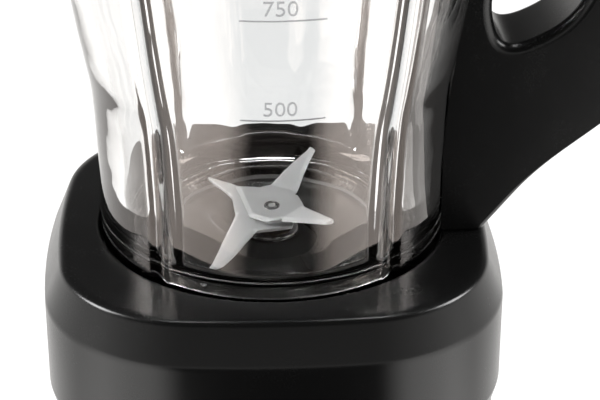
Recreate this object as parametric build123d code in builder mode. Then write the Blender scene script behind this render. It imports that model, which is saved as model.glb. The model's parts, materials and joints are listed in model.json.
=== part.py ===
from build123d import *
import os
from math import atan2, cos, radians, sin, sqrt

# A countertop blender: square motor base, glass jar with a side handle, four-winged blade, lid and cap.
# Millimetres. The motor axis is the Z axis, Z = 0 is the counter, the front is -Y, the handle is at +X.
# At the end every piece is moved by one common step, which puts the origin under the middle of the box.

# ---- driving dimensions: base ----
base_height = 148.0
belt_half = 71.0
belt_drop = 12.9
deck_half = 65.6
deck_side_radius = 284.0
deck_corner_radius = 40.0
belt_side_radius = 290.0
belt_corner_radius = 47.4
housing_height = 48.0
housing_inset = 2.0
housing_inset_height = 7.0
skirt_flare = 3.5
skirt_roll = 2.0
skirt_roll_height = 4.0
wall = 2.8
foot_height = 5.0
foot_radius = 9.0
foot_pitch = 80.0
cover_thickness = 3.0
boss_radius = 4.5
cover_boss_radius = 6.5

# ---- driving dimensions: socket and jar ----
socket_radius = 54.0
socket_depth = 22.0
socket_floor = 3.0
cushion_thickness = 2.0
jar_height = 190.0
jar_foot_radius = 53.1
jar_rim_radius = 72.0
glass_wall = 4.2
glass_foot_wall = 6.8
ledge_radius = 36.0
ledge_rise = 18.5
ledge_thickness = 4.5
rib_width = 9.0
rib_depth = 2.2
rib_angles = (-50, -130, 50, 130)
groove_width = 6.3
groove_depth = 1.54

# ---- driving dimensions: blade unit ----
disc_thickness = 1.0
seal_thickness = 1.5
blade_thickness = 1.2
blade_gap = 1.5
blade_rise = 10.4
blade_shaft_radius = 3.95

# ---- driving dimensions: handle, lid and cap ----
handle_reach = 121.0
handle_thickness = 28.0
lid_thickness = 3.0
lid_rise = 12.0
cap_radius = 23.6
cap_height = 30.0

# ---- driving dimensions: motor ----
motor_shaft_radius = 4.0
armature_radius = 20.2
air_gap = 0.8
stack_height = 34.0
stator_radius = 40.0
yoke_width = 5.5
fan_radius = 38.0
coupling_radius = 12.0
bearing_radius = 8.0
bearing_height = 7.0

# ---- driving dimensions: control ----
knob_height = 54.0
knob_radius = 16.6
knob_depth = 16.0
ring_width = 4.5

# ---- named clearances ----
running = 0.05
fit = 0.3
screw_radius = 1.5
screw_clearance = 0.2
head_radius = 2.9
head_height = 2.2

os.makedirs("parts", exist_ok=True)
z_axis = Axis.Z
on_top = (Align.CENTER, Align.CENTER, Align.MIN)


def corner_centre(half, side_radius, corner_radius):
    """Distance of a corner arc's centre from both middle planes, so that the arcs are tangent."""
    set_back = side_radius - half
    return (sqrt(2 * (side_radius - corner_radius) ** 2 - set_back**2) - set_back) / 2


def corner_reach(half, side_radius, corner_radius):
    """How far the rounded corner reaches along X, and as far along Y, on the diagonal."""
    return corner_centre(half, side_radius, corner_radius) + corner_radius / sqrt(2)


def rounded_square(half, inset=0, side_radius=belt_side_radius, corner_radius=belt_corner_radius):
    """A face of four shallow side arcs and four tangent corner arcs, moved inwards by an even inset."""
    set_back = side_radius - half
    centre = corner_centre(half, side_radius, corner_radius)
    turn = atan2(centre, centre + set_back)
    side = side_radius - inset
    reach = centre + (corner_radius - inset) / sqrt(2)
    low = Vector(side * cos(turn) - set_back, -side * sin(turn))
    middle = Vector(half - inset, 0)
    high = Vector(low.X, -low.Y)
    corner = Vector(reach, reach)
    end = Vector(high.Y, high.X)
    with BuildSketch() as outline:
        with BuildLine():
            for spin in (0, 90, 180, 270):
                side_start, side_middle, side_end, corner_middle, corner_end = (
                    point.rotate(z_axis, spin) for point in (low, middle, high, corner, end)
                )
                ThreePointArc(side_start, side_middle, side_end)
                ThreePointArc(side_end, corner_middle, corner_end)
        make_face()
    return outline.sketch


def corner_points(distance):
    """The four points at that distance from both middle planes."""
    return [(x, y) for x in (-distance, distance) for y in (-distance, distance)]


def corners(distance):
    """Places for a feature that repeats at the four corners."""
    return Locations(*corner_points(distance))


def mirror_points(distance):
    """The two points on the X axis at that distance from the motor axis."""
    return [(-distance, 0), (distance, 0)]


def facing_front(y, z, x=0):
    """A plane that faces the front, with local X to the right and local Y up."""
    return Plane((x, y, z), x_dir=(1, 0, 0), z_dir=(0, -1, 0))


# ---- levels ----
seam = base_height - housing_height
belt_level = base_height - belt_drop
well_floor = base_height - socket_depth
cover_top = foot_height + cover_thickness
skirt_top_half = belt_half - housing_inset
skirt_low_half = skirt_top_half + skirt_flare
skirt_foot_half = skirt_low_half - skirt_roll
skirt_low = foot_height + skirt_roll_height
tongue_inset = wall + fit
drive_hole = coupling_radius + 3.0

# ---- screw places at the four corners ----
head_pocket = head_radius + fit
hole_land = 0.8
case_corner = corner_reach(skirt_top_half, belt_side_radius, belt_corner_radius)
case_boss = case_corner - (tongue_inset + boss_radius) / sqrt(2)
cover_corner = corner_reach(skirt_foot_half, belt_side_radius, belt_corner_radius)
cover_boss = cover_corner - (wall + head_pocket + hole_land) / sqrt(2)
boss_depth = 8.0
case_screw_length = 20.0
cover_boss_height = 14.0
cover_screw_length = 9.0
head_recess = 1.4

# ---- top shell: deck, slanted band, belt wall and the round socket for the jar ----
mount_pitch = 56.0
post_radius = 5.0
post_length = 7.0
post_low = well_floor - socket_floor - post_length
drip_lip = 1.6
drip_lip_width = 2.5
top_boss_low = seam + 4.0
top_boss_bore = 16.0
belt_low = seam + housing_inset_height
with BuildPart() as top_shell:
    with BuildSketch(Plane.XY.offset(seam)):
        add(rounded_square(skirt_top_half))
    with BuildSketch(Plane.XY.offset(belt_low)):
        add(rounded_square(belt_half))
    loft(ruled=True)
    with BuildSketch(Plane.XY.offset(belt_low)):
        add(rounded_square(belt_half))
    extrude(amount=belt_level - belt_low)
    with BuildSketch(Plane.XY.offset(belt_level)):
        add(rounded_square(belt_half))
    with BuildSketch(Plane.XY.offset(base_height)):
        add(rounded_square(deck_half, 0, deck_side_radius, deck_corner_radius))
    loft(ruled=True)
    with BuildSketch(Plane.XY.offset(seam)):
        add(rounded_square(skirt_top_half, wall))
    with BuildSketch(Plane.XY.offset(belt_low)):
        add(rounded_square(belt_half, wall))
    loft(ruled=True, mode=Mode.SUBTRACT)
    with BuildSketch(Plane.XY.offset(belt_low)):
        add(rounded_square(belt_half, wall))
    extrude(amount=belt_level - belt_low - 0.5 * wall, mode=Mode.SUBTRACT)
    with BuildSketch(Plane.XY.offset(belt_level - 0.5 * wall)):
        add(rounded_square(belt_half, wall))
    with BuildSketch(Plane.XY.offset(base_height - wall)):
        add(rounded_square(deck_half, 0.6 * wall, deck_side_radius, deck_corner_radius))
    loft(ruled=True, mode=Mode.SUBTRACT)
    with BuildSketch(Plane.XY.offset(well_floor - socket_floor)):
        Circle(socket_radius + wall)
    extrude(amount=socket_depth + socket_floor)
    with BuildSketch(Plane.XY.offset(well_floor)):
        Circle(socket_radius)
    extrude(amount=socket_depth, mode=Mode.SUBTRACT)
    with BuildSketch(Plane.XY.offset(well_floor)):
        Circle(drive_hole + drip_lip_width)
    extrude(amount=drip_lip)
    with BuildSketch(Plane.XY.offset(post_low)):
        with GridLocations(mount_pitch, mount_pitch, 2, 2):
            Circle(post_radius)
    extrude(amount=post_length)
    with BuildSketch(Plane.XY.offset(top_boss_low)):
        with corners(case_boss):
            Circle(boss_radius)
    extrude(amount=base_height - 0.6 * wall - top_boss_low)
    with BuildSketch(Plane.XY.offset(well_floor - socket_floor)):
        Circle(drive_hole)
    extrude(amount=socket_floor + drip_lip, mode=Mode.SUBTRACT)
    with BuildSketch(Plane.XY.offset(post_low)):
        with GridLocations(mount_pitch, mount_pitch, 2, 2):
            Circle(screw_radius + running)
    extrude(amount=post_length, mode=Mode.SUBTRACT)
    with BuildSketch(Plane.XY.offset(top_boss_low)):
        with corners(case_boss):
            Circle(screw_radius + running)
    extrude(amount=top_boss_bore, mode=Mode.SUBTRACT)
top_shell.part.label = "top_shell"

# ---- lower shell: flared skirt under the housing, with its tongue, bosses and openings ----
tongue = 4.0
tongue_wall = 1.4
panel_face = -skirt_top_half - 0.4
panel_back = panel_face + wall + 1.1
knob_gap = 0.6
ring_radius = knob_radius + knob_gap + ring_width
panel_margin = 2.0
switch_thread = 4.5
gland_height = 22.0
gland_neck = 5.2
inner_low_half = skirt_low_half - wall
inner_top_half = skirt_top_half - tongue_inset - tongue_wall
inner_slope = (inner_low_half - inner_top_half) / (seam - tongue - skirt_low)
flare_slope = skirt_flare / (seam - skirt_low)
with BuildPart() as lower_shell:
    with BuildSketch(Plane.XY.offset(foot_height)):
        add(rounded_square(skirt_foot_half))
    with BuildSketch(Plane.XY.offset(skirt_low)):
        add(rounded_square(skirt_low_half))
    loft(ruled=True)
    with BuildSketch(Plane.XY.offset(skirt_low)):
        add(rounded_square(skirt_low_half))
    with BuildSketch(Plane.XY.offset(seam)):
        add(rounded_square(skirt_top_half))
    loft(ruled=True)
    with BuildSketch(Plane.XY.offset(seam)):
        add(rounded_square(skirt_top_half, tongue_inset))
    extrude(amount=tongue)
    with BuildSketch(Plane.XY.offset(foot_height)):
        add(rounded_square(skirt_foot_half, wall))
    with BuildSketch(Plane.XY.offset(skirt_low)):
        add(rounded_square(skirt_low_half, wall))
    loft(ruled=True, mode=Mode.SUBTRACT)
    with BuildSketch(Plane.XY.offset(skirt_low)):
        add(rounded_square(skirt_low_half, wall))
    with BuildSketch(Plane.XY.offset(seam - tongue)):
        add(rounded_square(skirt_top_half, tongue_inset + tongue_wall))
    loft(ruled=True, mode=Mode.SUBTRACT)
    with BuildSketch(Plane.XY.offset(seam - tongue)):
        add(rounded_square(skirt_top_half, tongue_inset + tongue_wall))
    extrude(amount=2 * tongue, mode=Mode.SUBTRACT)
    with BuildSketch(Plane.XY.offset(seam - boss_depth)):
        with corners(case_boss):
            Circle(boss_radius)
    extrude(amount=boss_depth + tongue)
    with BuildSketch(Plane.XY.offset(cover_top)):
        with corners(cover_boss):
            Circle(cover_boss_radius)
    extrude(amount=cover_boss_height)
    with BuildSketch(Plane.XY.offset(seam - boss_depth)):
        with corners(case_boss):
            Circle(screw_radius + screw_clearance)
    extrude(amount=boss_depth + tongue, mode=Mode.SUBTRACT)
    with BuildSketch(Plane.XY.offset(cover_top)):
        with corners(cover_boss):
            Circle(screw_radius + running)
    extrude(amount=cover_screw_length + 1, mode=Mode.SUBTRACT)
    with BuildSketch(facing_front(panel_back, knob_height)):
        Circle(ring_radius + panel_margin)
    extrude(amount=panel_back - panel_face)
    with BuildSketch(facing_front(panel_face, knob_height)):
        Circle(ring_radius + fit)
    extrude(amount=3 * wall, mode=Mode.SUBTRACT)
    with BuildSketch(facing_front(panel_back, knob_height)):
        Circle(switch_thread + screw_clearance)
    extrude(amount=panel_back - panel_face + wall, mode=Mode.SUBTRACT)
    with BuildSketch(facing_front(skirt_low_half + 2 * wall, gland_height)):
        Circle(gland_neck + running)
    extrude(amount=4 * wall, mode=Mode.SUBTRACT)
lower_shell.part.label = "lower_shell"

# ---- bottom cover with air slots under the fan and grooved posts for the control board ----
board_place = -57.0
board_thickness = 1.6
board_width = 50.0
post_width = 6.0
post_height = 20.0
groove_play = 0.2
slot_width = 3.0
foot_neck = 3.2
foot_barb = 4.4
foot_barb_height = 1.5
with BuildPart() as bottom_cover:
    with BuildSketch(Plane.XY.offset(foot_height)):
        add(rounded_square(skirt_foot_half, wall + fit))
        with PolarLocations(0.5 * fan_radius + 4, 18):
            SlotOverall(fan_radius - 16, slot_width, mode=Mode.SUBTRACT)
        with corners(foot_pitch / 2):
            Circle(foot_neck + fit, mode=Mode.SUBTRACT)
        with corners(cover_boss):
            Circle(screw_radius + screw_clearance, mode=Mode.SUBTRACT)
    extrude(amount=cover_thickness)
    with BuildSketch(Plane.XY.offset(foot_height)):
        with corners(cover_boss):
            Circle(head_pocket)
    extrude(amount=cover_thickness - head_recess, mode=Mode.SUBTRACT)
    with BuildSketch(Plane.XY.offset(cover_top)):
        with Locations((board_place, -board_width / 2), (board_place, board_width / 2)):
            Rectangle(post_width, post_width)
    extrude(amount=post_height)
    with BuildSketch(Plane.XY.offset(cover_top)):
        with Locations((board_place, 0)):
            Rectangle(board_thickness + groove_play, board_width)
    extrude(amount=post_height, mode=Mode.SUBTRACT)
bottom_cover.part.label = "bottom_cover"

# ---- four rubber feet, each pushed through the cover with a barbed head ----
with BuildPart() as feet:
    with corners(foot_pitch / 2):
        Cone(foot_radius - 1, foot_radius, foot_height, align=on_top)
    with BuildSketch(Plane.XY.offset(foot_height)):
        with corners(foot_pitch / 2):
            Circle(foot_neck)
    extrude(amount=cover_thickness + fit)
    with BuildSketch(Plane.XY.offset(cover_top + fit)):
        with corners(foot_pitch / 2):
            Circle(foot_barb)
    extrude(amount=foot_barb_height)
feet.part.label = "feet"


cross_length = 3.4
cross_width = 0.8


def rising_screws(points, seat, length):
    """Pan-head screws at those points: the head hangs below seat and the shank rises from it."""
    with BuildPart() as screws:
        with BuildSketch(Plane.XY.offset(seat)):
            with Locations(*points):
                Circle(head_radius)
        extrude(amount=-head_height)
        with BuildSketch(Plane.XY.offset(seat)):
            with Locations(*points):
                Circle(screw_radius)
        extrude(amount=length)
        with BuildSketch(Plane.XY.offset(seat - head_height)):
            with Locations(*points):
                Rectangle(cross_length, cross_width)
                Rectangle(cross_width, cross_length)
        extrude(amount=0.5 * head_height, mode=Mode.SUBTRACT)
    return screws.part


# ---- screws: cover to skirt, skirt to housing ----
cover_seat = cover_top - head_recess
with BuildPart() as cover_screws:
    add(rising_screws(corner_points(cover_boss), cover_seat, cover_screw_length))
cover_screws.part.label = "cover_screws"
with BuildPart() as case_screws:
    add(rising_screws(corner_points(case_boss), seam - boss_depth, case_screw_length))
case_screws.part.label = "case_screws"

# ---- rubber ring that the jar stands on ----
cushion_inner = 40.0
cushion_gap = 2.0
with BuildPart() as seat_cushion:
    with BuildSketch(Plane.XY.offset(well_floor)):
        Circle(socket_radius - cushion_gap)
        Circle(cushion_inner, mode=Mode.SUBTRACT)
    extrude(amount=cushion_thickness)
seat_cushion.part.label = "seat_cushion"

# ---- motor levels, worked down from the socket floor ----
damper_height = 3.0
bracket_thickness = 4.0
bracket_top = post_low - damper_height
bracket_low = bracket_top - bracket_thickness
lip = 2.0
upper_bearing_top = bracket_top - lip
stack_top = bracket_low - 13.0
stack_low = stack_top - stack_height
lower_bracket_top = stack_low - 26.0
lower_bracket_low = lower_bracket_top - bracket_thickness
lower_bearing_low = lower_bracket_low + lip
bolt_place = stator_radius - yoke_width / 2
bolt_radius = 1.6
bolt_head_radius = 3.0
bolt_head_height = 2.4
bearing_wall = 3.0
leg_radius = 4.0
shaft_room = 1.0
bracket_screw_end = 6.0
bore_radius = motor_shaft_radius + running

# ---- vibration dampers and the screws of the upper bracket ----
mount_points = corner_points(mount_pitch / 2)
with BuildPart() as motor_dampers:
    with BuildSketch(Plane.XY.offset(bracket_top)):
        with Locations(*mount_points):
            Circle(post_radius)
            Circle(screw_radius + screw_clearance, mode=Mode.SUBTRACT)
    extrude(amount=damper_height)
motor_dampers.part.label = "motor_dampers"
with BuildPart() as bracket_screws:
    add(rising_screws(mount_points, bracket_low, bracket_thickness + damper_height + bracket_screw_end))
bracket_screws.part.label = "bracket_screws"

# ---- upper bracket: plate, bearing cup and two legs down to the stator ----
vent_place = 22.0
vent_radius = 5.0
with BuildPart() as upper_bracket:
    with BuildSketch(Plane.XY.offset(bracket_low)):
        Circle(mount_pitch / sqrt(2) + post_radius + 1)
        with PolarLocations(vent_place, 6, start_angle=30):
            Circle(vent_radius, mode=Mode.SUBTRACT)
        with Locations(*mount_points):
            Circle(screw_radius + screw_clearance, mode=Mode.SUBTRACT)
    extrude(amount=bracket_thickness)
    with BuildSketch(Plane.XY.offset(upper_bearing_top - bearing_height)):
        Circle(bearing_radius + bearing_wall)
    extrude(amount=bearing_height + lip)
    with BuildSketch(Plane.XY.offset(stack_top)):
        with Locations(*mirror_points(bolt_place)):
            Circle(leg_radius)
    extrude(amount=bracket_low - stack_top)
    with BuildSketch(Plane.XY.offset(upper_bearing_top - bearing_height)):
        Circle(bearing_radius + running)
    extrude(amount=bearing_height, mode=Mode.SUBTRACT)
    with BuildSketch(Plane.XY.offset(bracket_low)):
        Circle(motor_shaft_radius + shaft_room)
    extrude(amount=bracket_thickness, mode=Mode.SUBTRACT)
    with BuildSketch(Plane.XY.offset(stack_top)):
        with Locations(*mirror_points(bolt_place)):
            Circle(bolt_radius + running)
    extrude(amount=bracket_low - stack_top + 3, mode=Mode.SUBTRACT)
upper_bracket.part.label = "upper_bracket"

# ---- lower bracket: plate, bearing cup, two legs and two pads for the brush holders ----
brush_place = 21.0
holder_size = 9.0
holder_low = stack_low - 17.5
with BuildPart() as lower_bracket:
    with BuildSketch(Plane.XY.offset(lower_bracket_low)):
        Circle(stator_radius + 1.5)
        with PolarLocations(vent_place + 2, 6, start_angle=30):
            Circle(vent_radius + 1, mode=Mode.SUBTRACT)
    extrude(amount=bracket_thickness)
    with BuildSketch(Plane.XY.offset(lower_bracket_low)):
        Circle(bearing_radius + bearing_wall)
    extrude(amount=bearing_height + lip)
    with BuildSketch(Plane.XY.offset(lower_bracket_top)):
        with Locations(*mirror_points(bolt_place)):
            Circle(leg_radius)
    extrude(amount=stack_low - lower_bracket_top)
    with BuildSketch(Plane.XY.offset(lower_bracket_top)):
        with Locations(*mirror_points(brush_place)):
            Rectangle(holder_size + 1, holder_size - 1)
    extrude(amount=holder_low - lower_bracket_top)
    with BuildSketch(Plane.XY.offset(lower_bearing_low)):
        Circle(bearing_radius + running)
    extrude(amount=bearing_height, mode=Mode.SUBTRACT)
    with BuildSketch(Plane.XY.offset(lower_bracket_low)):
        Circle(motor_shaft_radius + shaft_room)
        with Locations(*mirror_points(bolt_place)):
            Circle(bolt_radius + running)
    extrude(amount=stack_low - lower_bracket_low, mode=Mode.SUBTRACT)
lower_bracket.part.label = "lower_bracket"

# ---- two long bolts that clamp brackets and stator ----
with BuildPart() as motor_bolts:
    with BuildSketch(Plane.XY.offset(lower_bracket_low)):
        with Locations(*mirror_points(bolt_place)):
            RegularPolygon(bolt_head_radius, 6)
    extrude(amount=-bolt_head_height)
    with BuildSketch(Plane.XY.offset(lower_bracket_low)):
        with Locations(*mirror_points(bolt_place)):
            Circle(bolt_radius)
    extrude(amount=bracket_low + 2 - lower_bracket_low)
motor_bolts.part.label = "motor_bolts"

# ---- bearings ----
with BuildPart() as upper_bearing:
    with BuildSketch(Plane.XY.offset(upper_bearing_top - bearing_height)):
        Circle(bearing_radius)
        Circle(bore_radius, mode=Mode.SUBTRACT)
    extrude(amount=bearing_height)
upper_bearing.part.label = "upper_bearing"
with BuildPart() as lower_bearing:
    with BuildSketch(Plane.XY.offset(lower_bearing_low)):
        Circle(bearing_radius)
        Circle(bore_radius, mode=Mode.SUBTRACT)
    extrude(amount=bearing_height)
lower_bearing.part.label = "lower_bearing"

# ---- stator stack: yoke ring and two poles on the Y axis, each with its coil ----
pole_face = armature_radius + air_gap
yoke_inner = stator_radius - yoke_width
neck_width = 16.0
shoe_depth = 3.4
shoe_half_angle = 58
with BuildPart() as stator_core:
    with BuildSketch(Plane.XY.offset(stack_low)):
        Circle(pole_face + shoe_depth)
        Rectangle(2 * stator_radius, 2 * pole_face * cos(radians(shoe_half_angle)), mode=Mode.SUBTRACT)
        Rectangle(neck_width, 2 * yoke_inner + 1)
        Circle(pole_face, mode=Mode.SUBTRACT)
    extrude(amount=stack_height)
    with BuildSketch(Plane.XY.offset(stack_low)):
        Circle(stator_radius)
        Circle(yoke_inner, mode=Mode.SUBTRACT)
        with Locations(*mirror_points(bolt_place)):
            Circle(bolt_radius + running, mode=Mode.SUBTRACT)
    extrude(amount=stack_height)
stator_core.part.label = "stator_core"
coil_low = pole_face + shoe_depth + fit
coil_fill = 0.61
coil_depth = coil_fill * (yoke_inner - coil_low)
coil_width = 5.0
coil_corner = 4.0
with BuildPart() as field_coils:
    for side_y in (coil_low + coil_depth, -coil_low):
        with BuildSketch(facing_front(side_y, stack_low + stack_height / 2)):
            RectangleRounded(neck_width + 2 * coil_width, stack_height + 2 * coil_width, coil_corner)
            Rectangle(neck_width + 2 * fit, stack_height + 2 * fit, mode=Mode.SUBTRACT)
        extrude(amount=coil_depth)
field_coils.part.label = "field_coils"

# ---- brush holders on the lower bracket's pads, with the carbon brushes inside ----
commutator_radius = 9.0
brush_size = 6.0
brush_end = 7.5
brush_play = 0.4
holder_start = commutator_radius + 1.5
leg_gap = 2.7
holder_length = bolt_place - leg_radius - leg_gap - holder_start
brush_middle = holder_low + holder_size / 2
with BuildPart() as brush_holders:
    for side in (-1, 1):
        with BuildSketch(Plane((side * holder_start, 0, brush_middle), x_dir=(0, 1, 0), z_dir=(side, 0, 0))):
            Rectangle(holder_size, holder_size)
            Rectangle(brush_size + brush_play, brush_size + brush_play, mode=Mode.SUBTRACT)
        extrude(amount=holder_length)
brush_holders.part.label = "brush_holders"
with BuildPart() as carbon_brushes:
    for side in (-1, 1):
        tip = side * (commutator_radius + 2 * running)
        with BuildSketch(Plane((tip, 0, brush_middle), x_dir=(0, 1, 0), z_dir=(side, 0, 0))):
            Rectangle(brush_size, brush_size)
        extrude(amount=holder_start + holder_length - brush_end - commutator_radius)
carbon_brushes.part.label = "carbon_brushes"

# ---- rotor: shaft, slotted armature, windings, commutator, fan and drive coupling ----
fan_low = cover_top + 6.0
fan_height = 13.0
star_low = well_floor + drip_lip + 0.4
star_height = 6.5
coupling_bottom = bracket_top + 1.5
winding_height = 6.5
slot_depth = 9.0
segment_gap = 0.5
fan_hub = 8.0
fan_plate = 1.6
fan_blade = 1.4
coupling_neck = 9.0
commutator_low = stack_low - 19.0
with BuildPart() as motor_shaft:
    with BuildSketch(Plane.XY.offset(fan_low - 1)):
        Circle(motor_shaft_radius)
    extrude(amount=star_low - fan_low)
motor_shaft.part.label = "motor_shaft"
with BuildPart() as armature_core:
    with BuildSketch(Plane.XY.offset(stack_low)):
        Circle(armature_radius)
        Circle(bore_radius, mode=Mode.SUBTRACT)
        with PolarLocations(armature_radius - 3.5, 12):
            SlotOverall(slot_depth, slot_width, mode=Mode.SUBTRACT)
    extrude(amount=stack_height)
armature_core.part.label = "armature_core"
with BuildPart() as armature_windings:
    for start, step in ((stack_top, 1), (stack_low, -1)):
        with BuildSketch(Plane.XY.offset(start)):
            Circle(armature_radius - 1.5)
            Circle(bore_radius + 2, mode=Mode.SUBTRACT)
        extrude(amount=step * winding_height, taper=12)
armature_windings.part.label = "armature_windings"
with BuildPart() as commutator:
    with BuildSketch(Plane.XY.offset(commutator_low)):
        Circle(commutator_radius)
        Circle(bore_radius, mode=Mode.SUBTRACT)
        with PolarLocations(commutator_radius, 12):
            Rectangle(4 * segment_gap, segment_gap, mode=Mode.SUBTRACT)
    extrude(amount=stack_low - winding_height - 1 - commutator_low)
commutator.part.label = "commutator"
with BuildPart() as cooling_fan:
    with BuildSketch(Plane.XY.offset(fan_low)):
        Circle(fan_hub)
    extrude(amount=fan_height)
    with BuildSketch(Plane.XY.offset(fan_low + fan_height - fan_plate)):
        Circle(fan_radius)
    extrude(amount=fan_plate)
    with BuildSketch(Plane.XY.offset(fan_low)):
        with PolarLocations(fan_radius / 2 + 3, 11):
            Rectangle(fan_radius - fan_hub, fan_blade, rotation=12)
    extrude(amount=fan_height)
    with BuildSketch(Plane.XY.offset(fan_low)):
        Circle(bore_radius)
    extrude(amount=fan_height, mode=Mode.SUBTRACT)
cooling_fan.part.label = "cooling_fan"


def star(radius, tooth_width, grow=0):
    """A six-toothed star face; grow widens it evenly for the socket that takes it."""
    with BuildSketch() as outline:
        Circle(0.66 * radius + grow)
        with PolarLocations(radius / 2, 6):
            Rectangle(radius, tooth_width + 2 * grow)
        Circle(radius + grow, mode=Mode.INTERSECT)
    return outline.sketch


tooth_width = 4.4
with BuildPart() as drive_coupling:
    with BuildSketch(Plane.XY.offset(coupling_bottom)):
        Circle(coupling_neck)
    extrude(amount=star_low - coupling_bottom)
    with BuildSketch(Plane.XY.offset(star_low)):
        add(star(coupling_radius, tooth_width))
    extrude(amount=star_height)
    with BuildSketch(Plane.XY.offset(coupling_bottom)):
        Circle(bore_radius)
    extrude(amount=star_low - coupling_bottom, mode=Mode.SUBTRACT)
drive_coupling.part.label = "drive_coupling"

# ---- fan shroud on the cover ----
shroud_gap = 1.5
shroud_wall = 2.0
with BuildPart() as fan_shroud:
    with BuildSketch(Plane.XY.offset(cover_top)):
        Circle(fan_radius + shroud_gap + shroud_wall)
        Circle(fan_radius + shroud_gap, mode=Mode.SUBTRACT)
    extrude(amount=fan_low + fan_height + 1 - cover_top)
fan_shroud.part.label = "fan_shroud"

# ---- control: trim ring, rotary switch, nut, switch shaft, knob and its pointer ----
switch_size = 26.0
switch_depth = 16.0
spindle_radius = 3.0
spindle_start = panel_back + 10.0
ring_face = panel_face - 3.2
knob_back = panel_face - 0.5
knob_front = knob_back - knob_depth
nut_thickness = 2.4
nut_radius = 6.6
thread_end = 0.6
ring_rounding = 1.2
knob_rounding = 1.6
knob_recess = 8.6
knob_recess_depth = 4.5
knob_web = 4.8
spindle_grip = 5.0
spindle_gap = 0.3
with BuildPart() as control_ring:
    with BuildSketch(facing_front(panel_face, knob_height)):
        Circle(ring_radius)
        Circle(ring_radius - ring_width, mode=Mode.SUBTRACT)
    extrude(amount=panel_face - ring_face)
    fillet(control_ring.faces().sort_by(Axis.Y)[0].edges(), ring_rounding)
control_ring.part.label = "control_ring"
with BuildPart() as rotary_switch:
    with BuildSketch(facing_front(panel_back + switch_depth, knob_height)):
        RectangleRounded(switch_size, switch_size, 2)
    extrude(amount=switch_depth)
    with BuildSketch(facing_front(panel_back, knob_height)):
        Circle(switch_thread)
    extrude(amount=panel_back - panel_face + nut_thickness + thread_end)
    with BuildSketch(facing_front(spindle_start, knob_height)):
        Circle(spindle_radius + running)
    extrude(amount=spindle_start - panel_face + nut_thickness + 1, mode=Mode.SUBTRACT)
rotary_switch.part.label = "rotary_switch"
with BuildPart() as switch_nut:
    with BuildSketch(facing_front(panel_face, knob_height)):
        RegularPolygon(nut_radius, 6)
        Circle(switch_thread + running, mode=Mode.SUBTRACT)
    extrude(amount=nut_thickness)
switch_nut.part.label = "switch_nut"
with BuildPart() as switch_shaft:
    with BuildSketch(facing_front(spindle_start - spindle_gap, knob_height)):
        Circle(spindle_radius)
    extrude(amount=spindle_start - spindle_gap - knob_front - spindle_grip)
switch_shaft.part.label = "switch_shaft"
pointer_width = 2.4
pointer_length = 9.0
pointer_depth = 0.8
with BuildPart() as knob:
    with BuildSketch(facing_front(knob_back, knob_height)):
        Circle(knob_radius)
    extrude(amount=knob_depth, taper=3)
    fillet(knob.faces().sort_by(Axis.Y)[0].edges(), knob_rounding)
    with BuildSketch(facing_front(knob_back, knob_height)):
        Circle(knob_recess)
    extrude(amount=knob_recess_depth, mode=Mode.SUBTRACT)
    with BuildSketch(facing_front(knob_back, knob_height)):
        Circle(spindle_radius + running)
    extrude(amount=knob_depth - knob_web, mode=Mode.SUBTRACT)
    with BuildSketch(facing_front(knob_front + pointer_depth, knob_height)):
        with Locations((0, knob_radius / 2)):
            Rectangle(pointer_width, pointer_length)
    extrude(amount=pointer_depth, mode=Mode.SUBTRACT)
knob.part.label = "knob"
with BuildPart() as knob_pointer:
    with BuildSketch(facing_front(knob_front + pointer_depth, knob_height)):
        with Locations((0, knob_radius / 2)):
            Rectangle(pointer_width - 2 * running, pointer_length - 2 * running)
    extrude(amount=pointer_depth)
knob_pointer.part.label = "knob_pointer"

# ---- control board in the cover's grooved posts, with its parts, and the gland for the lead ----
board_height = 46.0
board_face = board_place + board_thickness / 2
with BuildPart() as control_board:
    with BuildSketch(Plane.XY.offset(cover_top)):
        with Locations((board_place, 0)):
            Rectangle(board_thickness, board_width - fit)
    extrude(amount=board_height)
control_board.part.label = "control_board"
with BuildPart() as board_components:
    with BuildSketch(Plane((board_face, 0, cover_top + 30), x_dir=(0, 1, 0), z_dir=(1, 0, 0))):
        with Locations((-12, 4)):
            Rectangle(14, 12)
        with Locations((10, 8)):
            Rectangle(10, 8)
        with Locations((8, -6)):
            Circle(4)
    extrude(amount=5)
board_components.part.label = "board_components"
gland_flange = 7.5
gland_bore = 3.4
flange_thickness = 2.2
flange_outer = skirt_low_half - (gland_height - gland_flange - skirt_low) * flare_slope + 0.5 * fit
side_bow = belt_side_radius - sqrt(belt_side_radius**2 - gland_flange**2)
inner_face = inner_low_half - (gland_height + gland_flange - skirt_low) * inner_slope
flange_inner = inner_face - side_bow - 0.5 * fit
with BuildPart() as cord_gland:
    with BuildSketch(facing_front(flange_outer + flange_thickness, gland_height)):
        Circle(gland_flange)
    extrude(amount=flange_thickness)
    with BuildSketch(facing_front(flange_outer + running, gland_height)):
        Circle(gland_neck)
    extrude(amount=flange_outer - flange_inner + 2 * running)
    with BuildSketch(facing_front(flange_inner, gland_height)):
        Circle(gland_flange)
    extrude(amount=flange_thickness)
    with BuildSketch(facing_front(flange_outer + 2 * flange_thickness, gland_height)):
        Circle(gland_bore)
    extrude(amount=flange_outer - flange_inner + 4 * flange_thickness, mode=Mode.SUBTRACT)
cord_gland.part.label = "cord_gland"

# ---- jar: heights are above the base's deck ----
jar_foot_low = cushion_thickness - socket_depth
ledge_top = jar_foot_low + ledge_rise
ledge_low = ledge_top - ledge_thickness
recess_radius = jar_foot_radius - glass_foot_wall
jar_curve = [(56.2, 60.0), (61.0, 90.0), (67.2, 130.0), (jar_rim_radius, jar_height)]
straight_top = 24.0
slab_middle = 60.0
slab_length = 40.0
rib_end = 18.0
rib_root = 1.0


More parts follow.
